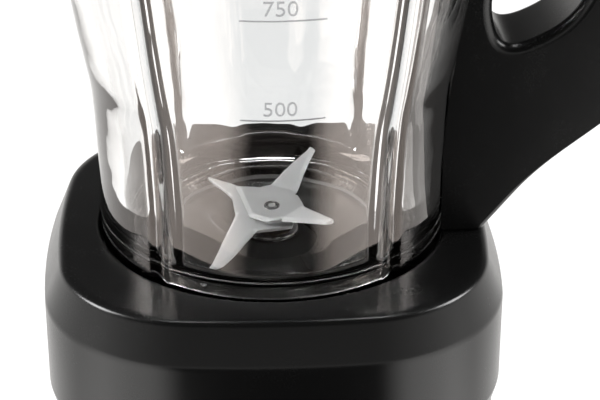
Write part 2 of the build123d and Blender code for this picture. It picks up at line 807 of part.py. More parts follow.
def jar_form(low, grow, foot_grow):
    """A solid of revolution with the jar's outline, moved sideways by grow, or by foot_grow at its foot."""
    line = [(radius + grow, height) for radius, height in jar_curve]
    with BuildPart() as form:
        with BuildSketch(Plane.XZ):
            with BuildLine():
                foot = jar_foot_radius + foot_grow
                Polyline((jar_rim_radius + grow, jar_height), (0, jar_height), (0, low), (foot, low))
                Line((foot, low), (foot, straight_top))
                Spline((foot, straight_top), *line, tangents=((0, 1), (0.03, 1)))
            make_face()
        revolve(axis=Axis.Z)
    return form.part.moved(Location((0, 0, base_height)))


def rib_slabs(width):
    """Upright slabs through the jar's wall at the places of its ribs."""
    with BuildPart() as slabs:
        with BuildSketch(Plane.XY.offset(base_height + jar_foot_low)):
            for angle in rib_angles:
                with Locations(Vector(slab_middle, 0).rotate(z_axis, angle)):
                    Rectangle(slab_length, width, rotation=angle)
        extrude(amount=jar_height - jar_foot_low - rib_end)
    return slabs.part


lug_heights = (28.0, 171.0)
lug_neck = (10.0, 14.0)
lug_head = (14.0, 20.0)
lug_root = 3.0
lug_reach = 2.5
lug_head_depth = 3.0
lug_rounding = 2.0


def lugs(grow):
    """Two tee-shaped glass lugs on the handle's side; grow widens them for the pockets that hold them."""
    with BuildPart() as tees:
        for height, start in zip(lug_heights, (jar_foot_radius - lug_root, jar_rim_radius - lug_root)):
            reach = start + lug_root + lug_reach
            with BuildSketch(Plane.YZ.offset(start)):
                with Locations((0, base_height + height)):
                    Rectangle(lug_neck[0] + 2 * grow, lug_neck[1] + 2 * grow)
            extrude(amount=reach - start)
            with BuildSketch(Plane.YZ.offset(reach - grow)):
                with Locations((0, base_height + height)):
                    RectangleRounded(lug_head[0] + 2 * grow, lug_head[1] + 2 * grow, lug_rounding)
            extrude(amount=lug_head_depth + 2 * grow)
    return tees.part


spout_place = -(jar_rim_radius - 5)
spout_height = 40.0
spout_radius = 16.0
spout_tip = 2.0
jar_cut = jar_form(ledge_top, -glass_wall, -glass_foot_wall)
with BuildPart() as inner_ribs:
    add(jar_form(ledge_top, rib_root - glass_wall, rib_root - glass_foot_wall))
    add(jar_form(ledge_top, -glass_wall - rib_depth, -glass_foot_wall - rib_depth), mode=Mode.SUBTRACT)
    add(rib_slabs(rib_width), mode=Mode.INTERSECT)
with BuildPart() as outer_grooves:
    add(jar_form(jar_foot_low - 1, rib_root, rib_root))
    add(jar_form(jar_foot_low - 1, -groove_depth, -groove_depth), mode=Mode.SUBTRACT)
    add(rib_slabs(groove_width), mode=Mode.INTERSECT)
spout_low = base_height + jar_height - spout_height
with BuildPart() as jar_glass:
    add(jar_form(jar_foot_low, 0, 0))
    with Locations((spout_place, 0, spout_low)):
        Cone(spout_tip, spout_radius, spout_height, align=on_top)
    add(jar_cut, mode=Mode.SUBTRACT)
    add(inner_ribs.part)
    add(outer_grooves.part, mode=Mode.SUBTRACT)
    with Locations((spout_place, 0, spout_low + glass_wall)):
        Cone(running, spout_radius - glass_wall, spout_height, align=on_top, mode=Mode.SUBTRACT)
    with BuildSketch(Plane.XY.offset(base_height + jar_foot_low)):
        Circle(recess_radius)
    extrude(amount=ledge_low - jar_foot_low, mode=Mode.SUBTRACT)
    with BuildSketch(Plane.XY.offset(base_height + ledge_low)):
        Circle(ledge_radius)
    extrude(amount=ledge_thickness, mode=Mode.SUBTRACT)
    add(lugs(0))
jar_glass.part.label = "jar_glass"

# ---- blade unit: seal, floor disc, holder, clamping ring, bushing with its ring ----
seal_top = base_height + ledge_low
disc_top = seal_top - seal_thickness
disc_low = disc_top - disc_thickness
collar_ledge = 3.3
flange_thickness_low = 2.5
flange_radius = recess_radius - collar_ledge
flange_low = disc_low - flange_thickness_low
collar_inner = flange_radius - 6.0
skirt_inner = flange_radius - 13.0
collar_notch = 2.2
seal_gap = 0.6
bushing_stand = 1.6
bushing_ring_radius = 8.3
bushing_ring_height = 1.3
bushing_ring_rounding = 0.6
hub_foot = 14.0
hub_top = 9.8
hub_rise = 2.7
bushing_radius = 6.4
jar_low = base_height + jar_foot_low
with BuildPart() as holder_seal:
    with BuildSketch(Plane.XY.offset(disc_top)):
        Circle(flange_radius)
        Circle(ledge_radius + seal_gap, mode=Mode.SUBTRACT)
    extrude(amount=seal_thickness)
holder_seal.part.label = "holder_seal"
with BuildPart() as floor_disc:
    with BuildSketch(Plane.XY.offset(disc_low)):
        Circle(flange_radius)
        Circle(hub_foot + fit, mode=Mode.SUBTRACT)
    extrude(amount=disc_thickness)
floor_disc.part.label = "floor_disc"
with BuildPart() as blade_holder:
    with BuildSketch(Plane.XY.offset(flange_low)):
        Circle(flange_radius)
    extrude(amount=disc_low - flange_low)
    with Locations((0, 0, disc_low)):
        Cone(hub_foot, hub_top, disc_thickness + hub_rise, align=on_top)
    with BuildSketch(Plane.XY.offset(jar_low + 2)):
        Circle(collar_inner)
        Circle(skirt_inner, mode=Mode.SUBTRACT)
    extrude(amount=flange_low - jar_low - 2)
    with BuildSketch(Plane.XY.offset(flange_low)):
        Circle(bushing_radius + running)
    extrude(amount=flange_thickness_low + disc_thickness + hub_rise, mode=Mode.SUBTRACT)
blade_holder.part.label = "blade_holder"
with BuildPart() as jar_collar:
    with BuildSketch(Plane.XY.offset(jar_low + 1)):
        Circle(recess_radius - fit)
        Circle(collar_inner + fit, mode=Mode.SUBTRACT)
        with PolarLocations(collar_inner, 8):
            Circle(collar_notch, mode=Mode.SUBTRACT)
    extrude(amount=flange_low - jar_low - 1)
jar_collar.part.label = "jar_collar"
ring_low = disc_top + hub_rise
with BuildPart() as blade_bushing:
    with BuildSketch(Plane.XY.offset(flange_low)):
        Circle(bushing_radius)
        Circle(blade_shaft_radius + running, mode=Mode.SUBTRACT)
    extrude(amount=ring_low + bushing_stand - flange_low)
blade_bushing.part.label = "blade_bushing"
with BuildPart() as bushing_ring:
    with BuildSketch(Plane.XY.offset(ring_low)):
        Circle(bushing_ring_radius)
        Circle(bushing_radius + running, mode=Mode.SUBTRACT)
    extrude(amount=bushing_ring_height)
    ring_top = bushing_ring.faces().sort_by(Axis.Z)[-1]
    fillet(ring_top.edges().sort_by(SortBy.LENGTH)[-1], bushing_ring_rounding)
bushing_ring.part.label = "bushing_ring"

# ---- blades: two plates with two wings each, a spacer, the shaft and the driven coupling ----
upper_top = disc_top + blade_rise
upper_low = upper_top - blade_thickness
lower_top = upper_low - blade_gap
lower_low = lower_top - blade_thickness
neck_radius = 2.5
spacer_radius = 5.0
tip_half = 1.3
tip_point = 1.0
fold_overlap = 0.3


def wing(left, right, tip, lift, level):
    """A flat wing beyond the fold from left to right, lifted about it, with its tip given on the flat."""
    fold = (Vector(*right) - Vector(*left)).normalized()
    outward = Vector(-fold.Y, fold.X)
    middle = (Vector(*left) + Vector(*right)) * 0.5
    half = (Vector(*right) - Vector(*left)).length / 2
    over = Vector(*tip) - middle
    side, reach = over.dot(fold), over.dot(outward)
    up = Vector(-outward.X * sin(radians(lift)), -outward.Y * sin(radians(lift)), cos(radians(lift)))
    plane = Plane(Vector(middle.X, middle.Y, level), x_dir=Vector(fold.X, fold.Y, 0), z_dir=up)
    with BuildPart() as blade:
        with BuildSketch(plane):
            with BuildLine():
                Polyline((half, 0), (half, -fold_overlap), (-half, -fold_overlap), (-half, 0))
                Polyline((-half, 0), (side - tip_half, reach - tip_point), (side, reach))
                Polyline((side, reach), (side + tip_half, reach - tip_point), (half, 0))
            make_face()
        extrude(amount=blade_thickness)
    return blade.part


upper_fold_far = [(-0.2, 13.1), (8.3, 8.4)]
upper_fold_near = [(10.2, -0.5), (3.0, -7.6)]
upper_right = [(8.0, 6.0)]
upper_left = [(-1.3, -8.3), (-7.1, -4.5), (-11.3, 13.4), (-3.3, 11.8)]
lower_fold_near = [(-5.3, -9.5), (-11.6, 0.8)]
lower_fold_far = [(-12.6, 10.5), (-13.0, 20.5)]
lower_right = [(-4.0, 12.0), (3.0, 9.0), (8.0, 2.0), (6.0, -7.0)]
with BuildPart() as upper_blade:
    with BuildSketch(Plane.XY.offset(upper_low)):
        with BuildLine():
            Polyline(*upper_fold_far, *upper_right, *upper_fold_near, *upper_left, close=True)
        make_face()
    extrude(amount=blade_thickness)
    add(wing(*upper_fold_far, (15.2, 27.2), 22, upper_low))
    add(wing(*upper_fold_near, (17.6, -23.7), 20, upper_low))
    with BuildSketch(Plane.XY.offset(upper_low)):
        Circle(neck_radius + running)
    extrude(amount=blade_thickness, mode=Mode.SUBTRACT)
upper_blade.part.label = "upper_blade"
with BuildPart() as lower_blade:
    with BuildSketch(Plane.XY.offset(lower_low)):
        with BuildLine():
            Polyline(*lower_fold_near, *lower_fold_far, *lower_right, close=True)
        make_face()
    extrude(amount=blade_thickness)
    add(wing(*lower_fold_near, (-19.2, -27.4), -14, lower_low))
    add(wing(*lower_fold_far, (-20.8, 25.3), -4, lower_low))
    with BuildSketch(Plane.XY.offset(lower_low)):
        Circle(neck_radius + running)
    extrude(amount=blade_thickness, mode=Mode.SUBTRACT)
lower_blade.part.label = "lower_blade"
with BuildPart() as blade_spacer:
    with BuildSketch(Plane.XY.offset(lower_top)):
        Circle(spacer_radius)
        Circle(neck_radius + running, mode=Mode.SUBTRACT)
    extrude(amount=blade_gap)
blade_spacer.part.label = "blade_spacer"
cup_play = 0.4
cup_rim = 5.0
cup_roof = 1.7
rivet_rise = 0.4
cup_low = jar_low + 0.6
cup_inner_top = star_low + star_height + cup_play
cup_top = cup_inner_top + cup_roof
with BuildPart() as blade_shaft:
    with BuildSketch(Plane.XY.offset(cup_inner_top)):
        Circle(blade_shaft_radius)
    extrude(amount=lower_low - cup_inner_top)
    with BuildSketch(Plane.XY.offset(lower_low)):
        Circle(neck_radius)
    extrude(amount=upper_top + rivet_rise - lower_low)
blade_shaft.part.label = "blade_shaft"
with BuildPart() as jar_coupling:
    with BuildSketch(Plane.XY.offset(cup_low)):
        Circle(coupling_radius + cup_rim)
    extrude(amount=cup_top - cup_low)
    with BuildSketch(Plane.XY.offset(cup_low)):
        add(star(coupling_radius, tooth_width, cup_play))
    extrude(amount=cup_inner_top - cup_low, mode=Mode.SUBTRACT)
    with BuildSketch(Plane.XY.offset(cup_inner_top)):
        Circle(blade_shaft_radius + running)
    extrude(amount=cup_top - cup_inner_top, mode=Mode.SUBTRACT)
jar_coupling.part.label = "jar_coupling"

# ---- handle: two half shells clamped round the glass lugs; points are X and height above the deck ----
handle_low = 1.0
handle_half = handle_thickness / 2
handle_top = (71.0, 186.5)
handle_foot = (66.0, handle_low)
inside_jar = 45.0
outer_low = [(70.2, 6.7), (79.0, 17.6), (93.4, 30.9), (handle_reach - 9, 48.0), (handle_reach, 92.0)]
outer_high = [(handle_reach - 3, 130.0), (handle_reach - 17, 162.0), (88.0, 181.0)]
hole_low = [(66.0, 66.0), (69.5, 61.8), (78.0, 63.4), (88.5, 71.0)]
hole_outer = [(95.5, 88.0), (96.5, 120.0), (91.0, 146.0)]
hole_back = [(82.0, 156.0), (77.5, 151.0), (73.0, 124.0), (68.5, 90.0)]
handle_plane = facing_front(0, base_height)
grip_screws = [(79.0, 34.0), (108.0, 56.0), (92.0, 170.0)]
handle_edge = 6.0
hole_edge = 3.0
pocket_place = handle_reach - 12.5
with BuildPart() as handle_block:
    with BuildSketch(handle_plane):
        with BuildLine():
            Polyline(handle_top, (inside_jar, handle_top[1]), (inside_jar, handle_low), handle_foot)
            Spline(handle_foot, *outer_low, *outer_high, handle_top, tangents=((0.6, 1), (-1, 0.1)))
        make_face()
    extrude(amount=handle_half, both=True)
    rims = handle_block.faces().filter_by(Axis.Y).edges()
    fillet(rims.filter_by(lambda rim: rim.center().X > jar_rim_radius), handle_edge)
    with BuildSketch(handle_plane):
        with BuildLine():
            Spline(*hole_low, *hole_outer, *hole_back, periodic=True)
        make_face()
    extrude(amount=handle_half, both=True, mode=Mode.SUBTRACT)
    rims = handle_block.faces().filter_by(Axis.Y).edges()
    fillet(rims.filter_by(GeomType.BSPLINE).sort_by(SortBy.LENGTH)[:2], hole_edge)
screw_bottom = -handle_half + 5.0
screw_seat = handle_half - 6.0
hollow_length = 70.0
hollow_width = 12.0
hollow_height = 100.0
jar_room = jar_form(jar_foot_low, fit, fit)
lug_room = lugs(fit)
with BuildPart() as handle_front:
    add(handle_block.part)
    split(bisect_by=Plane.XZ, keep=Keep.TOP)
    add(jar_room, mode=Mode.SUBTRACT)
    add(lug_room, mode=Mode.SUBTRACT)
    with BuildSketch(handle_plane):
        with Locations((pocket_place, hollow_height)):
            SlotOverall(hollow_length, hollow_width, rotation=90)
    extrude(amount=handle_half - wall, mode=Mode.SUBTRACT)
    with BuildSketch(handle_plane):
        with Locations(*grip_screws):
            Circle(screw_radius + running)
    extrude(amount=-screw_bottom + 0.5, mode=Mode.SUBTRACT)
handle_front.part.label = "handle_front"
with BuildPart() as handle_rear:
    add(handle_block.part)
    split(bisect_by=Plane.XZ, keep=Keep.BOTTOM)
    add(jar_room, mode=Mode.SUBTRACT)
    add(lug_room, mode=Mode.SUBTRACT)
    with BuildSketch(handle_plane):
        with Locations((pocket_place, hollow_height)):
            SlotOverall(hollow_length, hollow_width, rotation=90)
    extrude(amount=-(handle_half - wall), mode=Mode.SUBTRACT)
    with BuildSketch(handle_plane):
        with Locations(*grip_screws):
            Circle(screw_radius + screw_clearance)
    extrude(amount=-handle_half, mode=Mode.SUBTRACT)
    with BuildSketch(facing_front(screw_seat, base_height)):
        with Locations(*grip_screws):
            Circle(head_radius + fit)
    extrude(amount=-handle_half, mode=Mode.SUBTRACT)
handle_rear.part.label = "handle_rear"
with BuildPart() as handle_screws:
    with BuildSketch(facing_front(screw_seat, base_height)):
        with Locations(*grip_screws):
            Circle(head_radius)
    extrude(amount=-head_height)
    with BuildSketch(facing_front(screw_seat, base_height)):
        with Locations(*grip_screws):
            Circle(screw_radius)
    extrude(amount=screw_seat - screw_bottom)
    with BuildSketch(facing_front(screw_seat + head_height, base_height)):
        with Locations(*grip_screws):
            Rectangle(cross_length, cross_width)
            Rectangle(cross_width, cross_length)
    extrude(amount=0.5 * head_height, mode=Mode.SUBTRACT)
handle_screws.part.label = "handle_screws"

# ---- lid with its plug and rubber seal, and the clear measuring cap that fills its hole ----
rim_height = base_height + jar_height
lid_overhang = 2.0
seal_room = 2.4
lid_radius = jar_rim_radius + lid_overhang
plug_radius = jar_rim_radius - glass_wall - seal_room
plug_depth = 14.0
lid_top = rim_height + lid_rise
lid_rounding = 1.5
cap_play = 0.5
hole_radius = cap_radius + cap_play
seal_bulge = 1.9
seal_height = 4.0
seal_place = 2.0
seal_rounding = 0.8
with BuildPart() as lid:
    with BuildSketch(Plane.XY.offset(rim_height)):
        Circle(lid_radius)
    extrude(amount=0.5 * lid_rise)
    with BuildSketch(Plane.XY.offset(rim_height + 0.5 * lid_rise)):
        Circle(lid_radius)
    extrude(amount=0.5 * lid_rise, taper=45)
    upper_rims = lid.edges().filter_by(GeomType.CIRCLE).filter_by_position(z_axis, rim_height + 1, lid_top)
    fillet(upper_rims, lid_rounding)
    with BuildSketch(Plane.XY.offset(rim_height - plug_depth)):
        Circle(plug_radius)
    extrude(amount=plug_depth)
    with BuildSketch(Plane.XY.offset(rim_height - plug_depth)):
        Circle(plug_radius - lid_thickness)
    extrude(amount=plug_depth + lid_rise - lid_thickness, mode=Mode.SUBTRACT)
    with BuildSketch(Plane.XY.offset(rim_height - plug_depth)):
        Circle(hole_radius + lid_thickness)
    extrude(amount=plug_depth + lid_rise)
    with BuildSketch(Plane.XY.offset(rim_height - plug_depth)):
        Circle(hole_radius)
    extrude(amount=plug_depth + lid_rise, mode=Mode.SUBTRACT)
lid.part.label = "lid"
with BuildPart() as lid_seal:
    with BuildSketch(Plane.XY.offset(rim_height - plug_depth + seal_place)):
        Circle(plug_radius + seal_bulge)
        Circle(plug_radius + running, mode=Mode.SUBTRACT)
    extrude(amount=seal_height)
    fillet(lid_seal.faces().filter_by(GeomType.CYLINDER).sort_by(SortBy.AREA)[-1].edges(), seal_rounding)
lid_seal.part.label = "lid_seal"
cap_wall = 2.2
cap_flange = 5.0
cap_rise = 9.0
cap_flange_thickness = 2.4
cap_rounding = 1.5
cup_radius = cap_radius - 1.0
with BuildPart() as measuring_cap:
    with BuildSketch(Plane.XY.offset(lid_top - cap_height)):
        Circle(cup_radius)
    extrude(amount=cap_height)
    with BuildSketch(Plane.XY.offset(lid_top)):
        Circle(cap_radius + cap_flange)
    extrude(amount=cap_flange_thickness)
    with BuildSketch(Plane.XY.offset(lid_top)):
        Circle(cup_radius)
    extrude(amount=cap_rise)
    with BuildSketch(Plane.XY.offset(lid_top - cap_height)):
        Circle(cup_radius - cap_wall)
    extrude(amount=cap_height + cap_rise - cap_wall, mode=Mode.SUBTRACT)
    fillet(measuring_cap.faces().sort_by(z_axis)[-1].edges(), cap_rounding)
measuring_cap.part.label = "measuring_cap"

# ---- every piece is moved so that the origin lies under the middle of the whole, and written ----
pieces = [
    top_shell, lower_shell, bottom_cover, feet, cover_screws, case_screws, seat_cushion, motor_dampers,
    bracket_screws, upper_bracket, lower_bracket, motor_bolts, upper_bearing, lower_bearing, stator_core,
    field_coils, brush_holders, carbon_brushes, motor_shaft, armature_core, armature_windings, commutator,
    cooling_fan, drive_coupling, fan_shroud, control_ring, rotary_switch, switch_nut, switch_shaft, knob,
    knob_pointer, control_board, board_components, cord_gland, jar_glass, holder_seal, floor_disc,
    blade_holder, jar_collar, blade_bushing, bushing_ring, upper_blade, lower_blade, blade_spacer,
    blade_shaft, jar_coupling, handle_front, handle_rear, handle_screws, lid, lid_seal, measuring_cap,
]
whole = Compound([piece.part for piece in pieces]).bounding_box()
to_origin = Location((-whole.center().X, -whole.center().Y, -whole.min.Z))
for piece in pieces:
    name = piece.part.label
    placed = piece.part.moved(to_origin)
    placed.label = name
    export_step(placed, f"parts/{name}.step")
print("motor axis at", to_origin.position.X, to_origin.position.Y)
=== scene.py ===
import json
import math

import bpy
import numpy as np
from mathutils import Matrix, Vector
from mathutils.geometry import delaunay_2d_cdt

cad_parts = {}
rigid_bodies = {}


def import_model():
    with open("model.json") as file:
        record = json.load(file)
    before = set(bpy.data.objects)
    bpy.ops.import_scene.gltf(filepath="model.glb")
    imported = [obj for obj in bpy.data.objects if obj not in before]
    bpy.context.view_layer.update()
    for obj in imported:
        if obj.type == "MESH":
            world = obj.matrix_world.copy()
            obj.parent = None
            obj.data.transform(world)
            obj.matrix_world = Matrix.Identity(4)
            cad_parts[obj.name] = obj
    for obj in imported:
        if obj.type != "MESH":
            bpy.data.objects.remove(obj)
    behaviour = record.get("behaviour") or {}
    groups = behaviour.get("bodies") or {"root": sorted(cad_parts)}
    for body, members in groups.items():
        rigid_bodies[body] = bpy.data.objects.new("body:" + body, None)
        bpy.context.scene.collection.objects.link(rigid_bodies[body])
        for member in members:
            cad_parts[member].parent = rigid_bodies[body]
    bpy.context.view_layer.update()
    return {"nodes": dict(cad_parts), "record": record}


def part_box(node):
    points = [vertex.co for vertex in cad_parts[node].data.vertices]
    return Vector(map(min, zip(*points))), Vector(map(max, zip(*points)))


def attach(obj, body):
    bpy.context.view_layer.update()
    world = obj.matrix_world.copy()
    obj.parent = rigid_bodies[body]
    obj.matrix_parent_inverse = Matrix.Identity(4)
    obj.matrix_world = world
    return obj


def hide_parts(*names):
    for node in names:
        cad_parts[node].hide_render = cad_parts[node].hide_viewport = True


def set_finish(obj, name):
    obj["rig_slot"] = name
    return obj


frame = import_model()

MM = 0.001
TURN = 2 * math.pi

# ---- places read from the frame, in millimetres ----
shaft_low, shaft_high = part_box("motor_shaft")
axis_x = (shaft_low.x + shaft_high.x) / 2 / MM
axis_y = (shaft_low.y + shaft_high.y) / 2 / MM
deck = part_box("top_shell")[1].z / MM
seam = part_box("top_shell")[0].z / MM
plate_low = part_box("blade_spacer")[1].z / MM
lower_plate_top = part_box("blade_spacer")[0].z / MM
plate_thickness = 1.2
plate_top = plate_low + plate_thickness

# ---- shared helpers: meshes from numpy grids ----


def mesh_object(name, points, faces, body, slot, replaces=(), smooth=True):
    """Makes a closed mesh about the motor axis, in metres, faces outward, and hangs it on a body."""
    points = np.asarray(points, float)
    faces = [list(face) for face in faces]
    mesh = bpy.data.meshes.new(name)
    placed = (points + [axis_x, axis_y, 0.0]) * MM
    mesh.from_pydata(placed.tolist(), [], faces)
    mesh.update()
    piece = bpy.data.objects.new(name, mesh)
    bpy.context.scene.collection.objects.link(piece)
    mesh.calc_loop_triangles()
    corners = np.array([placed[list(tri.vertices)] for tri in mesh.loop_triangles])
    volume = np.einsum("ij,ij->i", corners[:, 0], np.cross(corners[:, 1], corners[:, 2])).sum()
    if volume < 0:
        mesh.flip_normals()
    if smooth:
        mesh.shade_smooth()
    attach(piece, body)
    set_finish(piece, slot)
    if replaces:
        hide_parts(*replaces)
    return piece


def tube_faces(rows, columns, wrap_rows=True):
    """Quads of a grid that closes on itself along its columns, and along its rows when asked."""
    row = np.arange(rows if wrap_rows else rows - 1)
    column = np.arange(columns)
    r, c = np.meshgrid(row, column, indexing="ij")
    down, right = (r + 1) % rows, (c + 1) % columns
    this, below = r * columns, down * columns
    quads = np.stack([this + c, this + right, below + right, below + c], -1)
    return quads.reshape(-1, 4)


def rounded(points, radii, steps=6, guard=0.35):
    """A closed profile whose corners are arcs, with a guard point just outside each arc's ends."""
    points = np.asarray(points, float)
    count = len(points)
    out = []
    for index in range(count):
        before, here, after = points[index - 1], points[index], points[(index + 1) % count]
        into, away = (before - here), (after - here)
        into_length, away_length = np.linalg.norm(into), np.linalg.norm(away)
        into, away = into / into_length, away / away_length
        half = 0.5 * math.acos(float(np.clip(into @ away, -1, 1)))
        radius = radii[index]
        if radius <= 0 or half > 1.56:
            out.append(here)
            continue
        reach = min(radius / math.tan(half), 0.45 * into_length, 0.45 * away_length)
        radius = reach * math.tan(half)
        inward = (into + away) / np.linalg.norm(into + away)
        centre = here + inward * radius / math.sin(half)
        first, last = here + into * reach, here + away * reach
        start = math.atan2(*(first - centre)[::-1])
        sweep = (math.atan2(*(last - centre)[::-1]) - start + math.pi) % TURN - math.pi
        turn = start + sweep * np.linspace(0, 1, steps)
        out.append(first + into * min(guard, 0.1 * into_length))
        out.extend(centre + radius * np.stack([np.cos(turn), np.sin(turn)], 1))
        out.append(last + away * min(guard, 0.1 * away_length))
    return np.array(out)


# ---- motor base: the housing that carries the jar ----
belt_half, belt_side, belt_corner = 71.0, 290.0, 47.4
deck_half, deck_side, deck_corner = 65.6, 284.0, 40.0
belt_drop = 12.9
socket_radius = 54.0
socket_depth = 22.0
lip_outer, lip_inner, lip_height = 17.5, 15.0, 1.6
floor_thickness = 3.0
wall = 2.8
sides = 288


def square_radius(turn, half, side, corner):
    """Distance of a rounded square's edge from the axis: on its shallow side arc or its corner arc."""
    set_back = side - half
    centre = (math.sqrt(2 * (side - corner) ** 2 - set_back**2) - set_back) / 2
    fold = np.abs((turn + math.pi / 4) % (math.pi / 2) - math.pi / 4)
    tangent = math.atan2(centre, centre + set_back)
    switch = math.atan2(side * math.sin(tangent), side * math.cos(tangent) - set_back)
    along_side = np.sqrt(side**2 - (set_back * np.sin(fold)) ** 2) - set_back * np.cos(fold)
    spread = centre * (np.cos(fold) + np.sin(fold))
    along_corner = spread + np.sqrt(np.maximum(corner**2 - 2 * centre**2 + spread**2, 0))
    return np.where(fold <= switch, along_side, along_corner)


def base_ring(turn, inset):
    """Edge at an inset from the belt: belt square, deck square, the socket's circle, then the axis."""
    belt = square_radius(turn, belt_half, belt_side, belt_corner)
    top = square_radius(turn, deck_half, deck_side, deck_corner)
    knots = [0.0, belt_half - deck_half, belt_half - socket_radius, belt_half]
    levels = [belt, top, np.full_like(turn, socket_radius), np.zeros_like(turn)]
    rows = []
    for depth in np.atleast_1d(inset):
        index = int(np.clip(np.searchsorted(knots, depth) - 1, 0, 2))
        share = (depth - knots[index]) / (knots[index + 1] - knots[index])
        rows.append(levels[index] * (1 - share) + levels[index + 1] * share)
    return np.array(rows)


def ring_mesh(name, profile, ring, body, slot, replaces, columns=sides):
    """Carries a closed profile of insets and heights round the axis, ring turning insets to radii."""
    turn = np.linspace(0, TURN, columns, endpoint=False)
    radius = ring(turn, profile[:, 0])
    height = np.repeat(profile[:, 1:2], columns, 1)
    points = np.stack([radius * np.cos(turn), radius * np.sin(turn), height], -1)
    faces = tube_faces(len(profile), columns)
    return mesh_object(name, points.reshape(-1, 3), faces, body, slot, replaces)


def make_housing():
    """The upper housing: inset bottom edge, belt wall, slanted band, deck, socket and drip lip."""
    floor = deck - socket_depth
    under = floor - floor_thickness
    band = belt_half - deck_half
    well = belt_half - socket_radius
    lip_out, lip_in = belt_half - lip_outer, belt_half - lip_inner
    edge_inset, edge_rise = 2.0, 7.0
    profile = [
        (edge_inset, seam), (0.0, seam + edge_rise), (0.0, deck - belt_drop), (band, deck),
        (well, deck), (well, floor), (lip_out, floor), (lip_out, floor + lip_height),
        (lip_in, floor + lip_height), (lip_in, under), (well - wall, under), (well - wall, deck - wall),
        (band + 1.7, deck - wall), (wall, deck - belt_drop - 1.4), (wall, seam + edge_rise),
        (edge_inset + wall, seam),
    ]
    radii = [0.7, 4, 5, 2.6, 1.1, 2, 0.8, 0.5, 0.5, 0.5, 1, 1, 1, 1, 1, 0.3]
    rounded_profile = rounded(profile, radii, 8)
    return ring_mesh("housing", rounded_profile, base_ring, "base", "satin_black", ["top_shell"])


# ---- glass jar ----
foot_radius = 53.1
rim_radius = 72.0
curve_heights = np.array([20.0, 30, 40, 49, 57, 66, 75, 90, 110, 130, 150, 170, 190])
curve_radii = np.array([foot_radius, 53.4, 53.8, 54.5, 55.9, 57.5, 58.9, 61.1, 64.2, 67.2, 69.5, 71.2,
                        rim_radius])
thick_heights = [13, 30, 55, 80, 190]
thick_walls = [6.8, 6.2, 5.0, 4.4, 4.2]
rim_half = 2.1
floor_top, floor_corner, floor_hole = -1.5, 9.0, 36.0
ledge_low, foot_low, recess_radius = -6.0, -20.0, 46.3
groove_depth, groove_width = 1.5, 9.0
rib_depth, rib_width = 2.4, 12.0
spout_reach, spout_start, spout_spread = 11.0, 148.0, 0.15
rib_turns = np.radians([-50, -130, 50, 130, 75, 106])
rib_depths = [1.0, 1.0, 1.0, 1.0, 0.5, 0.5]


def smooth_step(x):
    """Rises from 0 to 1 with level ends."""
    x = np.clip(x, 0, 1)
    return x * x * (3 - 2 * x)


def jar_radius(height):
    """Outside radius of the jar at a height above the deck: a smooth curve through its few widths."""
    slopes = np.gradient(curve_radii, curve_heights)
    slopes[0] = 0.0
    index = np.searchsorted(curve_heights, height) - 1
    index = np.clip(index, 0, len(curve_heights) - 2)
    span = curve_heights[index + 1] - curve_heights[index]
    t = np.clip((height - curve_heights[index]) / span, 0, 1)
    a, b = curve_radii[index], curve_radii[index + 1]
    ma, mb = slopes[index] * span, slopes[index + 1] * span
    shape = (2 * t**3 - 3 * t**2 + 1) * a + (t**3 - 2 * t**2 + t) * ma
    shape = shape + (3 * t**2 - 2 * t**3) * b + (t**3 - t**2) * mb
    return np.where(height <= curve_heights[0], foot_radius, shape)


def rib_shape(turn, radius, width):
    """1 on the middle line of each rib and 0 beside it, a raised cosine across the width."""
    total = np.zeros(np.broadcast(turn, radius).shape)
    for place, depth in zip(rib_turns, rib_depths):
        gap = ((turn - place + math.pi) % TURN - math.pi) * radius
        crest = 0.5 + 0.5 * np.cos(TURN * gap / width)
        total = total + depth * np.where(np.abs(gap) < width / 2, crest, 0)
    return total


def spout_shape(turn, height):
    """The pouring lip opposite the handle: it leans out over the last stretch below the rim."""
    gap = (turn + TURN) % TURN - math.pi
    lean = smooth_step((height - spout_start) / 42) ** 1.6
    return spout_reach * np.exp(-((gap / spout_spread) ** 2)) * lean


def jar_surface(turn, radius, height, side):
    """Moves the plain jar's points: grooves outside, ribs inside, the spout through the whole wall."""
    fade = smooth_step((188 - height) / 30) * smooth_step((height + 19) / 6)
    if side == "out":
        deepen = 0.7 + 0.3 * smooth_step((height - 2) / 22)
        radius = radius - groove_depth * rib_shape(turn, radius, groove_width) * fade * deepen
    if side == "in":
        rise = smooth_step((height - 2) / 8)
        radius = radius - rib_depth * rib_shape(turn, radius, rib_width) * rise * fade
    return radius + spout_shape(turn, height)


